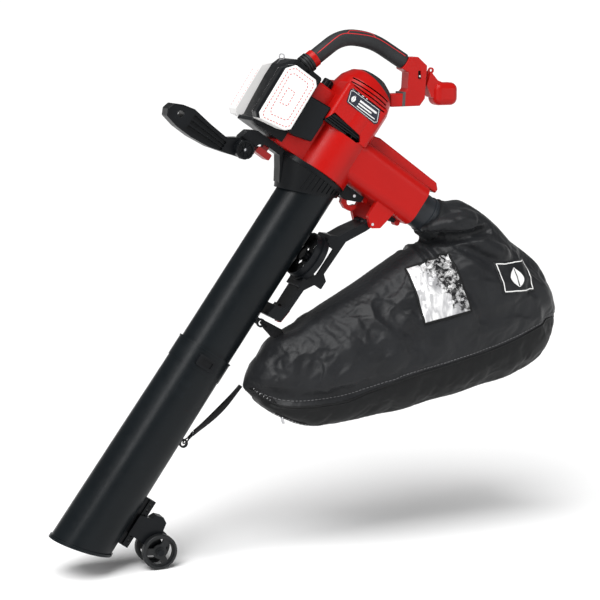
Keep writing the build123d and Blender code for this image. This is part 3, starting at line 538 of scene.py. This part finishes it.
def fold_lines():
    """The folds as short straight pieces with their depth tapering to nothing at both ends."""
    out = []
    for line, depth, width in FOLDS:
        pts = smooth_line([Vector((x, z, 0)) for x, z in line], 6)
        n = len(pts)
        for i in range(n - 1):
            fade = math.sin(math.pi * min(1.0, 0.15 + 0.85 * (i + 0.5) / n)) ** 0.5
            out.append((pts[i], pts[i + 1], depth * fade, width))
    return out


def fold_depth(p, pieces):
    """How deep the folds press the panel in at a point, in mm."""
    x, z = leaned_xz(p)
    if p.y > 0:
        x, z = x + 14 + 10 * noise.noise(p * 6), z + 9 * noise.noise(p * 7)
    best = {}
    for a, b, depth, width in pieces:
        if abs(x - a.x) > FOLD_REACH or abs(z - a.y) > FOLD_REACH:
            continue
        dx, dz = b.x - a.x, b.y - a.y
        t = min(1.0, max(0.0, ((x - a.x) * dx + (z - a.y) * dz) / (dx * dx + dz * dz)))
        d = math.hypot(x - a.x - t * dx, z - a.y - t * dz) / width
        if d < 3:
            move = -depth * math.exp(-d * d) + 0.15 * depth * math.exp(-((d - 1.7) ** 2) * 2)
            key = (depth > 0, width)
            if abs(move) > abs(best.get(key, 0)):
                best[key] = move
    side = min(1.0, abs(p.y) * 1000 / 25)
    return side * sum(best.values())


def creases(p):
    """Soft dents with sharper lines between them, in mm."""
    x, z = leaned_xz(p)
    top, seam, _, _ = station(x)
    calm = min(1.0, max(0.0, (top - z) / 50)) * min(1.0, 0.25 + abs(z - seam) / 60)
    q = Vector((p.x * 9 + p.z * 5, p.y * 10, p.z * 16 - p.x * 6))
    soft = noise.noise(q * 0.9)
    ridge = 1 - abs(noise.noise(q * 0.5 + Vector((4, 1, 7)))) * 2.6
    small = 1 - abs(noise.noise(q * 1.9 + Vector((9, 3, 2)))) * 2.4
    fine = noise.noise(q * 3.1 + Vector((2, 8, 5)))
    gusset = 0.35 if z < seam else 1.0
    return calm * gusset * (5.0 * soft + 2.6 * max(0.0, ridge) ** 2 + 1.0 * max(0.0, small) ** 4 + 0.6 * fine)


def push(obj, depth):
    """Moves each vertex along its normal by depth(point) mm."""
    moves = [(v.co.copy(), v.normal.copy()) for v in obj.data.vertices]
    for v, (p, n) in zip(obj.data.vertices, moves):
        v.co = p + n * depth(p) / 1000


CLOTH_CAP = 0.009   # m
CLOTH_FRAMES = 16


def settle(obj, held, frames=CLOTH_FRAMES):
    """Lets the fabric crumple for a moment, and caps how far any point may go."""
    start = [v.co.copy() for v in obj.data.vertices]
    group = obj.vertex_groups.new(name="held")
    for i, p in enumerate(start):
        group.add([i], held(p), "REPLACE")
    cloth = obj.modifiers.new("cloth", "CLOTH")
    cfg = cloth.settings
    cfg.quality = 5
    cfg.mass = 0.25
    cfg.tension_stiffness = 22
    cfg.compression_stiffness = 12
    cfg.shear_stiffness = 6
    cfg.bending_stiffness = 0.35
    cfg.shrink_min = -0.022
    cfg.effector_weights.gravity = 0
    cfg.vertex_group_mass = "held"
    cfg.pin_stiffness = 1.5
    cfg.use_pressure = True
    cfg.uniform_pressure_force = 0.5
    cloth.collision_settings.use_collision = False
    cloth.point_cache.frame_start = 1
    cloth.point_cache.frame_end = frames
    scene = bpy.context.scene
    for f in range(1, frames + 1):
        scene.frame_set(f)
    apply_modifiers(obj)
    scene.frame_set(1)
    for v, p in zip(obj.data.vertices, start):
        move = v.co - p
        if move.length > CLOTH_CAP:
            v.co = p + move * CLOTH_CAP / move.length
    obj.vertex_groups.clear()


def bag_held(p):
    """How firmly a point is held: the collar, the corners, the seams and the top edge keep their places."""
    s, _, reach = neck_place(p)
    x, z = leaned_xz(p)
    top, seam, low, half = station(x)
    weight = 0.06
    if s < 26 and reach < 90:
        weight = 1.0
    elif s < 60 and reach < 110:
        weight = 0.4
    if abs(z - seam) < 9 and abs(p.y) * 1000 > half * 0.7:
        weight = max(weight, 0.6)
    if top - z < 22 or z - low < 10:
        weight = max(weight, 0.5)
    if x < -20:
        weight = 1.0
    return weight


# The intake cover's latch comes closest to the bag when the cover swings open by COVER_SWING.
COVER_SWING = math.radians(6)
cover_hinge = at(148, 213)
latch_reach = sum((Vector(c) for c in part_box("cover_latch")), Vector()) / 2 - cover_hinge
latch_reach = Vector((latch_reach.x * math.cos(COVER_SWING) - latch_reach.z * math.sin(COVER_SWING), 0,
                      latch_reach.x * math.sin(COVER_SWING) + latch_reach.z * math.cos(COVER_SWING)))


def latch_room(p):
    """The bag gives way by up to 9 mm where the open cover's latch would touch it."""
    off = p - cover_hinge - latch_reach
    return 9.0 * math.exp(-(off.length / 0.035) ** 2)


bag = bag_start()
fold_pieces = fold_lines()
push(bag, lambda p: gathers(p) + creases(p) + 0.6 * fold_depth(p, fold_pieces))
settle(bag, bag_held)
push(bag, lambda p: 0.75 * fold_depth(p, fold_pieces) - latch_room(p))
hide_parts("bag_body")
divide = bag.modifiers.new("divide", "SUBSURF")
divide.levels = divide.render_levels = 1
apply_modifiers(bag)
bag.data.shade_smooth()
bag.data.materials.clear()
bag.data.materials.append(MATERIALS["bag_fabric"])
bag.data.materials.append(GUSSET)
for face in bag.data.polygons:
    p = face.center
    x, z = leaned_xz(p)
    face.material_index = 1 if z < station(x)[1] - 1 else 0

bag_tree = BVHTree.FromPolygons([v.co for v in bag.data.vertices],
                                [tuple(f.vertices) for f in bag.data.polygons])


def on_bag(x, z, side=-1, lift=0.6):
    """The point of the bag's skin at (x, z) of the leaned frame, seen from one side, and its normal."""
    start = leaned(x, z, side * 300)
    hit, normal, _, _ = bag_tree.ray_cast(start, Vector((0, -side, 0)))
    if hit is None:
        hit, normal, _, _ = bag_tree.find_nearest(leaned(x, z, side * 60))
    if normal.y * side < 0:
        normal = -normal
    return hit + normal * lift / 1000, normal


def seen_on_bag(x, y, z, lift=0.6):
    """Where the camera's line through (x, y, z) of the leaned frame meets the bag."""
    eye = camera.location.copy()
    hit, normal, _, _ = bag_tree.ray_cast(eye, (leaned(x, z, y) - eye).normalized())
    if hit is None:
        hit, normal, _, _ = bag_tree.find_nearest(leaned(x, z, y))
    if normal.y > 0:
        normal = -normal
    return hit + normal * lift / 1000, normal


SEAM_START, SEAM_END, SEAM_POINTS = -24, 694, 60


def seam_line(side):
    """The piped seam between a panel and the gusset."""
    line = []
    for i in range(SEAM_POINTS):
        x = SEAM_START + (SEAM_END - SEAM_START) * i / (SEAM_POINTS - 1)
        _, seam, _, half = station(x)
        hit, normal, _, _ = bag_tree.find_nearest(leaned(x, seam, side * half))
        line.append(hit + normal * 0.0004)
    return line


for side, tag in ((-1, "left"), (1, "right")):
    path = smooth_line(seam_line(side)[::2], 4)
    pipe = piece("bag_piping_" + tag, *swept(path, ring_profile(0.0021)), GUSSET)


STITCH_START, STITCH_END, STITCH_STEP = -12.0, 690, 2.6
STITCH_LONGEST = 0.012      # m, a longer one has jumped from one fold to the next


def topstitch(side, rise, tag):
    """A row of stitches on the panel, a little above the seam."""
    chunks = []
    spots = []
    x = STITCH_START
    while x < STITCH_END:
        top, seam, _, _ = station(x)
        spots.append((x, min(seam + rise, top - 6)))
        x += STITCH_STEP
    for i in range(0, len(spots) - 2, 3):
        line = [on_bag(*spots[k], side, 0.5)[0] for k in (i, i + 1, i + 2)]
        if (line[0] - line[2]).length < STITCH_LONGEST:
            chunks.append(swept(line, ring_profile(0.0008, 5)))
    joined("bag_stitches_" + tag, chunks, THREAD)


for side, tag in ((-1, "left"), (1, "right")):
    topstitch(side, 9.0, tag)


def along_patch(corners, s, t):
    """The point at s across and t down between four corners."""
    (x0, z0), (x1, z1), (x2, z2), (x3, z3) = corners
    return ((x0 * (1 - s) + x1 * s) * (1 - t) + (x3 * (1 - s) + x2 * s) * t,
            (z0 * (1 - s) + z1 * s) * (1 - t) + (z3 * (1 - s) + z2 * s) * t)


def patch(name, corners, material, across=18, down=14, lift=1.0, thick=0.8, side=-1, relief=None):
    """A sewn-on patch that follows the bag's skin between four corners in (x, z)."""
    front = []
    for j in range(down + 1):
        for i in range(across + 1):
            s, t = i / across, j / down
            rise = relief(s, t) if relief else 0.0
            front.append(on_bag(*along_patch(corners, s, t), side, lift + rise))
    wide = across + 1
    count = len(front)
    verts = [p for p, n in front] + [p - n * thick / 1000 for p, n in front]
    faces = []
    for j in range(down):
        for i in range(across):
            a = j * wide + i
            faces.append((a, a + 1, a + 1 + wide, a + wide))
            faces.append((a + count, a + wide + count, a + 1 + wide + count, a + 1 + count))
    edge = list(range(wide)) + [j * wide + across for j in range(1, down + 1)]
    edge += [down * wide + i for i in reversed(range(across))] + [j * wide for j in reversed(range(1, down))]
    for a, b in zip(edge, edge[1:] + edge[:1]):
        faces.append((a, b, b + count, a + count))
    obj = piece(name, verts, faces, material)
    return obj


def bag_strip(name, points, width, material, lift=1.6, thick=0.6, closed=True):
    """A flat tape laid on the bag's near side through (x, z) points."""
    line, ups = [], []
    for x, z in points:
        p, n = on_bag(x, z, -1, lift)
        line.append(p)
        ups.append(n)
    obj = piece(name, *swept(line, flat_profile(width / 1000, thick / 1000), closed, ups), material)
    return obj


def dense(points, step=6.0, closed=True):
    """The points of a polygon with more along its sides."""
    out = []
    pairs = zip(points, points[1:] + points[:1]) if closed else zip(points, points[1:])
    for (x0, z0), (x1, z1) in pairs:
        n = max(1, int(math.hypot(x1 - x0, z1 - z0) / step))
        out += [(x0 + (x1 - x0) * k / n, z0 + (z1 - z0) * k / n) for k in range(n)]
    if not closed:
        out.append(points[-1])
    return out


def footprint(points, y):
    """Where the camera's lines through the points at depth y meet the bag, as (x, z) of the leaned frame."""
    out = []
    for x, z in points:
        p, _ = seen_on_bag(x, y, z)
        out.append(leaned_xz(p))
    return out


def window_relief(s, t):
    """The film's crumples in mm: flat at its edge, sharp creases inside."""
    edge = min(1.0, 8 * min(s, 1 - s, t, 1 - t))
    broad = noise.noise(Vector((s * 5, t * 6, 3)))
    sharp = 1 - 2.4 * abs(noise.noise(Vector((s * 8 + t * 3, t * 9, 5))))
    return edge * (2.4 * broad + 2.2 * max(0.0, sharp) ** 2)


WINDOW = footprint([(290.8, 0.1), (390.8, 28.1), (445.8, -98.9), (336.8, -118.9)], -110)
LABEL = footprint([(500.8, 1.1), (570.8, 6.1), (605.8, -67.9), (527.8, -69.9)], -100)
patch("bag_window", WINDOW, FILM, 44, 44, 1.6, 0.6, relief=window_relief)
bag_strip("bag_window_tape", dense(WINDOW, 5.0), 4.5, GUSSET, 2.2)
patch("bag_label", LABEL, MATERIALS["bag_fabric"], 24, 20, 1.4, 0.8)
inner = [along_patch(LABEL, s, t) for s, t in ((0.06, 0.07), (0.94, 0.07), (0.94, 0.93), (0.06, 0.93))]
bag_strip("bag_label_line", dense(inner, 4.0), 2.4, MARK_WHITE, 2.5, 0.4)


def leaf_outline(count=14):
    """A plain leaf shape in a unit square."""
    right = [(0.5 + 0.3 * math.sin(math.pi * t) ** 0.9 * (1 - 0.25 * t), 0.12 + 0.72 * t)
             for t in [k / count for k in range(count + 1)]]
    left = [(1 - s, t) for s, t in reversed(right[1:-1])]
    return right + left


def leaf_on(place, name, material, body=ROOT, lift=0.0):
    """A leaf of two halves with a thin gap between them, set on a surface by place(s, t) -> (point, normal).
    """
    chunks = []
    outline = leaf_outline()
    half = len(outline) // 2 + 1
    right = outline[:half]
    left = [(1 - s, t) for s, t in right]
    for shape in (right, left):
        for (s0, t0), (s1, t1) in zip(shape, shape[1:]):
            mid = 0.525 if s0 + s1 > 1 else 0.475
            corners = [place(mid, t0), place(s0, t0), place(s1, t1), place(mid, t1)]
            top = [p + n * lift / 1000 for p, n in corners]
            low = [p - n * 0.0004 for p, n in corners]
            chunks.append((top + low, [(0, 1, 2, 3), (7, 6, 5, 4), (0, 4, 5, 1), (1, 5, 6, 2), (2, 6, 7, 3),
                                       (3, 7, 4, 0)]))
    obj = joined(name, chunks, material, body, False)
    return obj


leaf_on(lambda s, t: on_bag(*along_patch(LABEL, 0.14 + 0.72 * s, 0.9 - 0.8 * t), -1, 2.2), "bag_label_leaf",
        MARK_WHITE, lift=0.3)


# ---------------------------------------------------------------- strap, tab and zip

def twisted(name, start, end, width, thick, turns, sag, count=40):
    """A flat webbing in mm between two points, which turns on its way and sags."""
    line, ups = [], []
    ahead = (end - start).normalized()
    side = Vector((0, 1, 0))
    other = ahead.cross(side).normalized()
    for i in range(count + 1):
        t = i / count
        line.append(start.lerp(end, t) + other * (sag * math.sin(math.pi * t) / 1000))
        a = turns[0] + (turns[1] - turns[0]) * (t * t * (3 - 2 * t))
        ups.append(other * math.cos(a) + side * math.sin(a))
    band = swept(line, flat_profile(width / 1000, thick / 1000), False, ups)
    return piece(name, *band, MATERIALS["webbing"])


strap_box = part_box("bag_strap")
strap_low = Vector((strap_box[0][0], 0, strap_box[0][2]))
strap_high = Vector((strap_box[1][0], 0, strap_box[1][2]))
STRAP_WIDTH, STRAP_THICK, STRAP_SAG = 14, 1.6, -5
STRAP_TURNS = (math.radians(60), math.radians(170))
strap = twisted("bag_strap_webbing", strap_low, strap_high, STRAP_WIDTH, STRAP_THICK, STRAP_TURNS, STRAP_SAG)
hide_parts("bag_strap")


def cloth_tab(name, outline, thick, y, material):
    """A flat loop of webbing sewn to the bag's edge, from (x, z) points of the leaned frame."""
    count = len(outline)
    verts = [leaned(x, z, y - thick / 2) for x, z in outline]
    verts += [leaned(x, z, y + thick / 2) for x, z in outline]
    faces = [tuple(range(count)), tuple(reversed(range(count, 2 * count)))]
    faces += [(k, (k + 1) % count, (k + 1) % count + count, k + count) for k in range(count)]
    return piece(name, verts, faces, material, smooth=False)


UPPER_TAB = [(12, -104), (30, -114), (54, -128), (62, -142), (48, -148), (30, -142), (14, -124), (6, -110)]
cloth_tab("bag_upper_tab", UPPER_TAB, 2.4, -5, MATERIALS["webbing"])


ZIP_START, ZIP_PITCH, ZIP_POINTS = -12, 3.2, 46


def zip_teeth():
    """The zip along the gusset's front end: a tape with small teeth."""
    chunks = []
    line = []
    for i in range(ZIP_POINTS):
        x = ZIP_START + ZIP_PITCH * i
        _, _, low, half = station(x)
        p, n, _, _ = bag_tree.find_nearest(leaned(x, low + 22, -0.55 * half))
        line.append((p, n))
    tape = swept([p + n * 0.0004 for p, n in line], flat_profile(0.014, 0.0008), False, [n for p, n in line])
    piece("bag_zip_tape", *tape, MATERIALS["webbing"])
    for (p, n), (q, _) in zip(line[::2], line[1::2]):
        along = (q - p).normalized()
        across = n.cross(along).normalized() * 0.0022
        base = p + n * 0.0012
        chunks.append(swept([base - across, base + across], ring_profile(0.0008, 5), False, along))
    joined("bag_zip_teeth", chunks, MATERIALS["motor_metal"])


zip_teeth()
pull_at, pull_normal, _, _ = bag_tree.find_nearest(leaned(28.9, -314.1, -60))
pull_line = [pull_at + pull_normal * 0.003 + Vector((0.001 * k, 0, -0.0035 * k)) for k in range(5)]
pull = piece("bag_zip_pull", *swept(pull_line, flat_profile(0.007, 0.0016), False, pull_normal),
             MATERIALS["steel"])


# ---------------------------------------------------------------- printed and inlaid details

def tree_of(name):
    """A search tree of a CAD node's mesh where it stands."""
    node = nodes[name]
    verts = [node.matrix_world @ v.co for v in node.data.vertices]
    return BVHTree.FromPolygons(verts, [tuple(f.vertices) for f in node.data.polygons])


def on_tree(tree, aim, way, lift=0.15):
    """The point a ray from 0.2 m outside meets going back along way, lifted off by lift mm."""
    start = aim + way * 0.2
    hit, normal, _, _ = tree.ray_cast(start, -way)
    if hit is None:
        hit, normal, _, _ = tree.find_nearest(aim)
    if normal.dot(way) < 0:
        normal = -normal
    return hit + normal * lift / 1000, normal


def inlay(name, tree, points, way, width, thick, material, body, closed=False, lift=0.1):
    """A thin line that follows a node's surface through points in row metres."""
    found = [on_tree(tree, p, w, lift) for p, w in zip(points, way)]
    line = [p for p, n in found]
    strip = swept(line, flat_profile(width / 1000, thick / 1000), closed, [n for p, n in found])
    return piece(name, *strip, material, body)


# The grip's middle line, (u, w) from the front end up and back.
GRIP_LINE = [(-153, 394), (-138, 443), (-124, 487), (-117, 499), (-104, 507), (-80, 520), (-66, 527),
             (-50, 532), (-30, 534), (0, 536.5), (24, 538.2)]
grip_tree = tree_of("grip_sleeve")


def grip_points(angle_at, start, stop, count=60):
    """Points round the grip's middle line: angle 0 is outward, -90 degrees is the near side."""
    path = smooth_line([at(u, w) for u, w in GRIP_LINE], 10)
    points, ways = [], []
    for i in range(count + 1):
        f = start + (stop - start) * i / count
        k = min(int(f * (len(path) - 1)), len(path) - 2)
        p = path[k].lerp(path[k + 1], f * (len(path) - 1) - k)
        ahead = (path[k + 1] - path[k]).normalized()
        out = ahead.cross(Vector((0, 1, 0))).normalized()
        a = math.radians(angle_at(f))
        points.append(p)
        ways.append(out * math.cos(a) + Vector((0, 1, 0)) * math.sin(a))
    return points, ways


for tag, sign in (("near", -1), ("far", 1)):
    points, ways = grip_points(lambda f: sign * 58, 0.02, 0.985)
    inlay("grip_line_" + tag, grip_tree, points, ways, 1.6, 0.8, LINE_RED, ROOT)
# The red edge of the panel on the grip's near side: how far along the grip, and the angle in degrees.
panel_points, panel_ways = [], []
edge = [(0.34, -58), (0.38, -30), (0.62, -30), (0.66, -58)]
for (f0, a0), (f1, a1) in zip(edge, edge[1:]):
    points, ways = grip_points(lambda f: a0 + (a1 - a0) * (f - f0) / (f1 - f0), f0, f1, 20)
    panel_points += points[:-1]
    panel_ways += ways[:-1]
inlay("grip_panel_edge", grip_tree, panel_points, panel_ways, 1.5, 0.9, LINE_RED, ROOT)


def dashed(tree, points, way, width):
    """One dash on a node's surface, and how far it reaches."""
    found = [on_tree(tree, p, way, 0.1) for p in points]
    strip = swept([p for p, n in found], flat_profile(width / 1000, 0.0004), False, [n for p, n in found])
    return strip, max((p - found[0][0]).length for p, n in found)


def dashes(name, tree, outline, way, width, dash, gap, body, closed=True):
    """A dashed line on a node's side through (u, w) points, without dashes that jump off an edge."""
    chunks = []
    pts = dense(outline, 1.0, closed)
    step = dash + gap
    for i in range(0, len(pts) - dash, step):
        strip, reach = dashed(tree, [at(u, w) for u, w in pts[i:i + dash + 1:2]], way, width)
        if reach < 0.001 * (dash + 3):
            chunks.append(strip)
    return joined(name, chunks, LINE_RED, body)


DASH, GAP, DASH_WIDTH = 4, 3, 1.3
PACK_LINES = [[(-209, 361), (-198, 371), (-153, 371), (-146, 363),
               (-143, 270), (-150, 263), (-199, 253), (-206, 260)],
              [(-202, 354), (-194, 361), (-160, 361), (-155, 353),
               (-153, 280), (-158, 274), (-190, 267), (-196, 274)],
              [(-190, 330), (-172, 330), (-170, 300), (-188, 296)]]
for tag, way in (("left", Vector((0, -1, 0))), ("right", Vector((0, 1, 0)))):
    owner = "battery_" + tag
    tree = tree_of(owner)
    for i, outline in enumerate(PACK_LINES):
        dashes("battery_dashes_%s_%d" % (tag, i), tree, outline, way, DASH_WIDTH, DASH, GAP, owner)

# The near pack's dark bumper, and dashes down the front of the far pack.
front_way = (at(-1, 0) - at(0, 0)).normalized()
bumper = dense([(-203, 248), (-211, 256), (-214, 352), (-213, 361), (-201, 375)], 3.0, False)
BUMPER_Y, BUMPER_WIDTH = -66.5, 38
inlay("battery_bumper", tree_of("battery_left"), [at(u, w, BUMPER_Y) for u, w in bumper],
      [front_way] * len(bumper), BUMPER_WIDTH, 0.8, MATERIALS["trim_black"], "battery_left")
far_tree = tree_of("battery_right")
for i, y in enumerate((52, 84)):
    points = [at(-200, w, y) for w in range(262, 354)]
    chunks = [dashed(far_tree, points[k:k + DASH + 1:2], front_way, DASH_WIDTH)[0]
              for k in range(0, len(points) - DASH - 1, DASH + GAP)]
    joined("battery_front_dashes_%d" % i, chunks, LINE_RED, "battery_right")

# The name plate: a light border, a leaf and three bars instead of words.
plate_tree = tree_of("nameplate")
PLATE = [(-66, 410), (-60, 413), (15, 413), (26, 386), (20, 381), (-58, 383)]
middle = (sum(u for u, w in PLATE) / len(PLATE), sum(w for u, w in PLATE) / len(PLATE))
rim = [(middle[0] + (u - middle[0]) * 0.93, middle[1] + (w - middle[1]) * 0.82) for u, w in PLATE]
near = Vector((0, -1, 0))
border = dense(rim, 2.0)
inlay("nameplate_border", plate_tree, [at(u, w) for u, w in border], [near] * len(border), 0.9, 0.4,
      MARK_WHITE, ROOT, True)
leaf_on(lambda s, t: on_tree(plate_tree, at(-58 + 19 * s, 387 + 21 * t), near, 0.1), "nameplate_leaf",
        MARK_WHITE, lift=0.3)
for i, (u0, u1, w, thick) in enumerate([(-34, 12, 402, 4.2), (-34, 2, 395.4, 3.0), (-34, 15, 389.6, 2.0)]):
    bar = dense([(u0, w), (u1, w)], 3.0, False)
    inlay("nameplate_bar_%d" % i, plate_tree, [at(u, v) for u, v in bar], [near] * len(bar), thick, 0.4,
          MARK_WHITE, ROOT)


switch_tree = tree_of("power_switch")
spot = sum((Vector(c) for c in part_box("power_switch")), Vector()) / 2
DOT_R, DOT_POINTS = 0.0014, 12
dot = [spot + Vector((DOT_R * math.cos(a), 0, DOT_R * math.sin(a)))
       for a in [2 * math.pi * k / DOT_POINTS for k in range(DOT_POINTS)]]
inlay("switch_mark", switch_tree, dot, [near] * len(dot), 1.2, 0.3, MARK_WHITE, "power_switch",
      True)


# ---------------------------------------------------------------- floor and light

# Flat round the machine, the floor rises slowly further out, so that low views see no edge.
floor_z = cad_box[0][2] - 0.0005
FLAT_R, RISE = 10.0, 0.0016
spokes = 48
radii = [3.0, 8.0, 14.0, 20.0, 28.0, 38.0, 50.0, 64.0, 80.0]
rings = [[(r * math.cos(2 * math.pi * k / spokes), r * math.sin(2 * math.pi * k / spokes),
           floor_z + RISE * max(0.0, r - FLAT_R) ** 2) for k in range(spokes)] for r in radii]
faces = [tuple(range(spokes))]
for i in range(len(radii) - 1):
    for k in range(spokes):
        n = (k + 1) % spokes
        faces.append((i * spokes + k, (i + 1) * spokes + k, (i + 1) * spokes + n, i * spokes + n))
mesh = bpy.data.meshes.new("floor")
mesh.from_pydata([p for ring in rings for p in ring], [], faces)
floor = bpy.data.objects.new("floor", mesh)
bpy.context.collection.objects.link(floor)
pale = Graph("floor_pale")
pale_tone = pale.ramp(pale.noise(1.5, 2.0), [(0.3, (0.91, 0.91, 0.91)), (0.7, (0.94, 0.94, 0.94))])
mesh.materials.append(pale.finish(Base_Color=pale_tone, Roughness=0.9, Specular_IOR_Level=0.0))

view = bpy.context.scene.view_settings
view.view_transform = "Standard"
view.look = "None"
# The world lights the machine dimly, and the camera sees it as plain white.
WHITE = (1.0, 1.0, 1.0, 1.0)
WORLD_LIGHT = 0.22
world = bpy.data.worlds.new("studio")
world.use_nodes = True
links = world.node_tree.links
dim = world.node_tree.nodes["Background"]
dim.inputs["Color"].default_value = WHITE
dim.inputs["Strength"].default_value = WORLD_LIGHT
backdrop = world.node_tree.nodes.new("ShaderNodeBackground")
backdrop.inputs["Color"].default_value = WHITE
backdrop.inputs["Strength"].default_value = 1.0
choose = world.node_tree.nodes.new("ShaderNodeMixShader")
seen = world.node_tree.nodes.new("ShaderNodeLightPath")
links.new(seen.outputs["Is Camera Ray"], choose.inputs["Fac"])
links.new(dim.outputs["Background"], choose.inputs[1])
links.new(backdrop.outputs["Background"], choose.inputs[2])
links.new(choose.outputs["Shader"], world.node_tree.nodes["World Output"].inputs["Surface"])
bpy.context.scene.world = world


def soft_light(name, place, aim, size, power, tall=None):
    lamp = bpy.data.lights.new(name, "AREA")
    lamp.shape = "RECTANGLE"
    lamp.size = size
    lamp.size_y = tall or size
    lamp.energy = power
    obj = bpy.data.objects.new(name, lamp)
    obj.location = place
    obj.rotation_euler = (Vector(aim) - Vector(place)).to_track_quat("-Z", "Y").to_euler()
    bpy.context.collection.objects.link(obj)


def soft_sun(name, direction, strength, angle):
    lamp = bpy.data.lights.new(name, "SUN")
    lamp.energy = strength
    lamp.angle = math.radians(angle)
    obj = bpy.data.objects.new(name, lamp)
    obj.rotation_euler = Vector(direction).to_track_quat("-Z", "Y").to_euler()
    bpy.context.collection.objects.link(obj)


centre = (Vector(cad_box[0]) + Vector(cad_box[1])) / 2
soft_sun("sky", (0.38, 0.40, -1.0), 3.35, 45)
soft_light("key", centre + Vector((-2.0, -1.8, 1.5)), centre, 0.8, 30, 1.8)
soft_light("fill", centre + Vector((2.2, -2.4, 0.8)), centre, 1.4, 12)
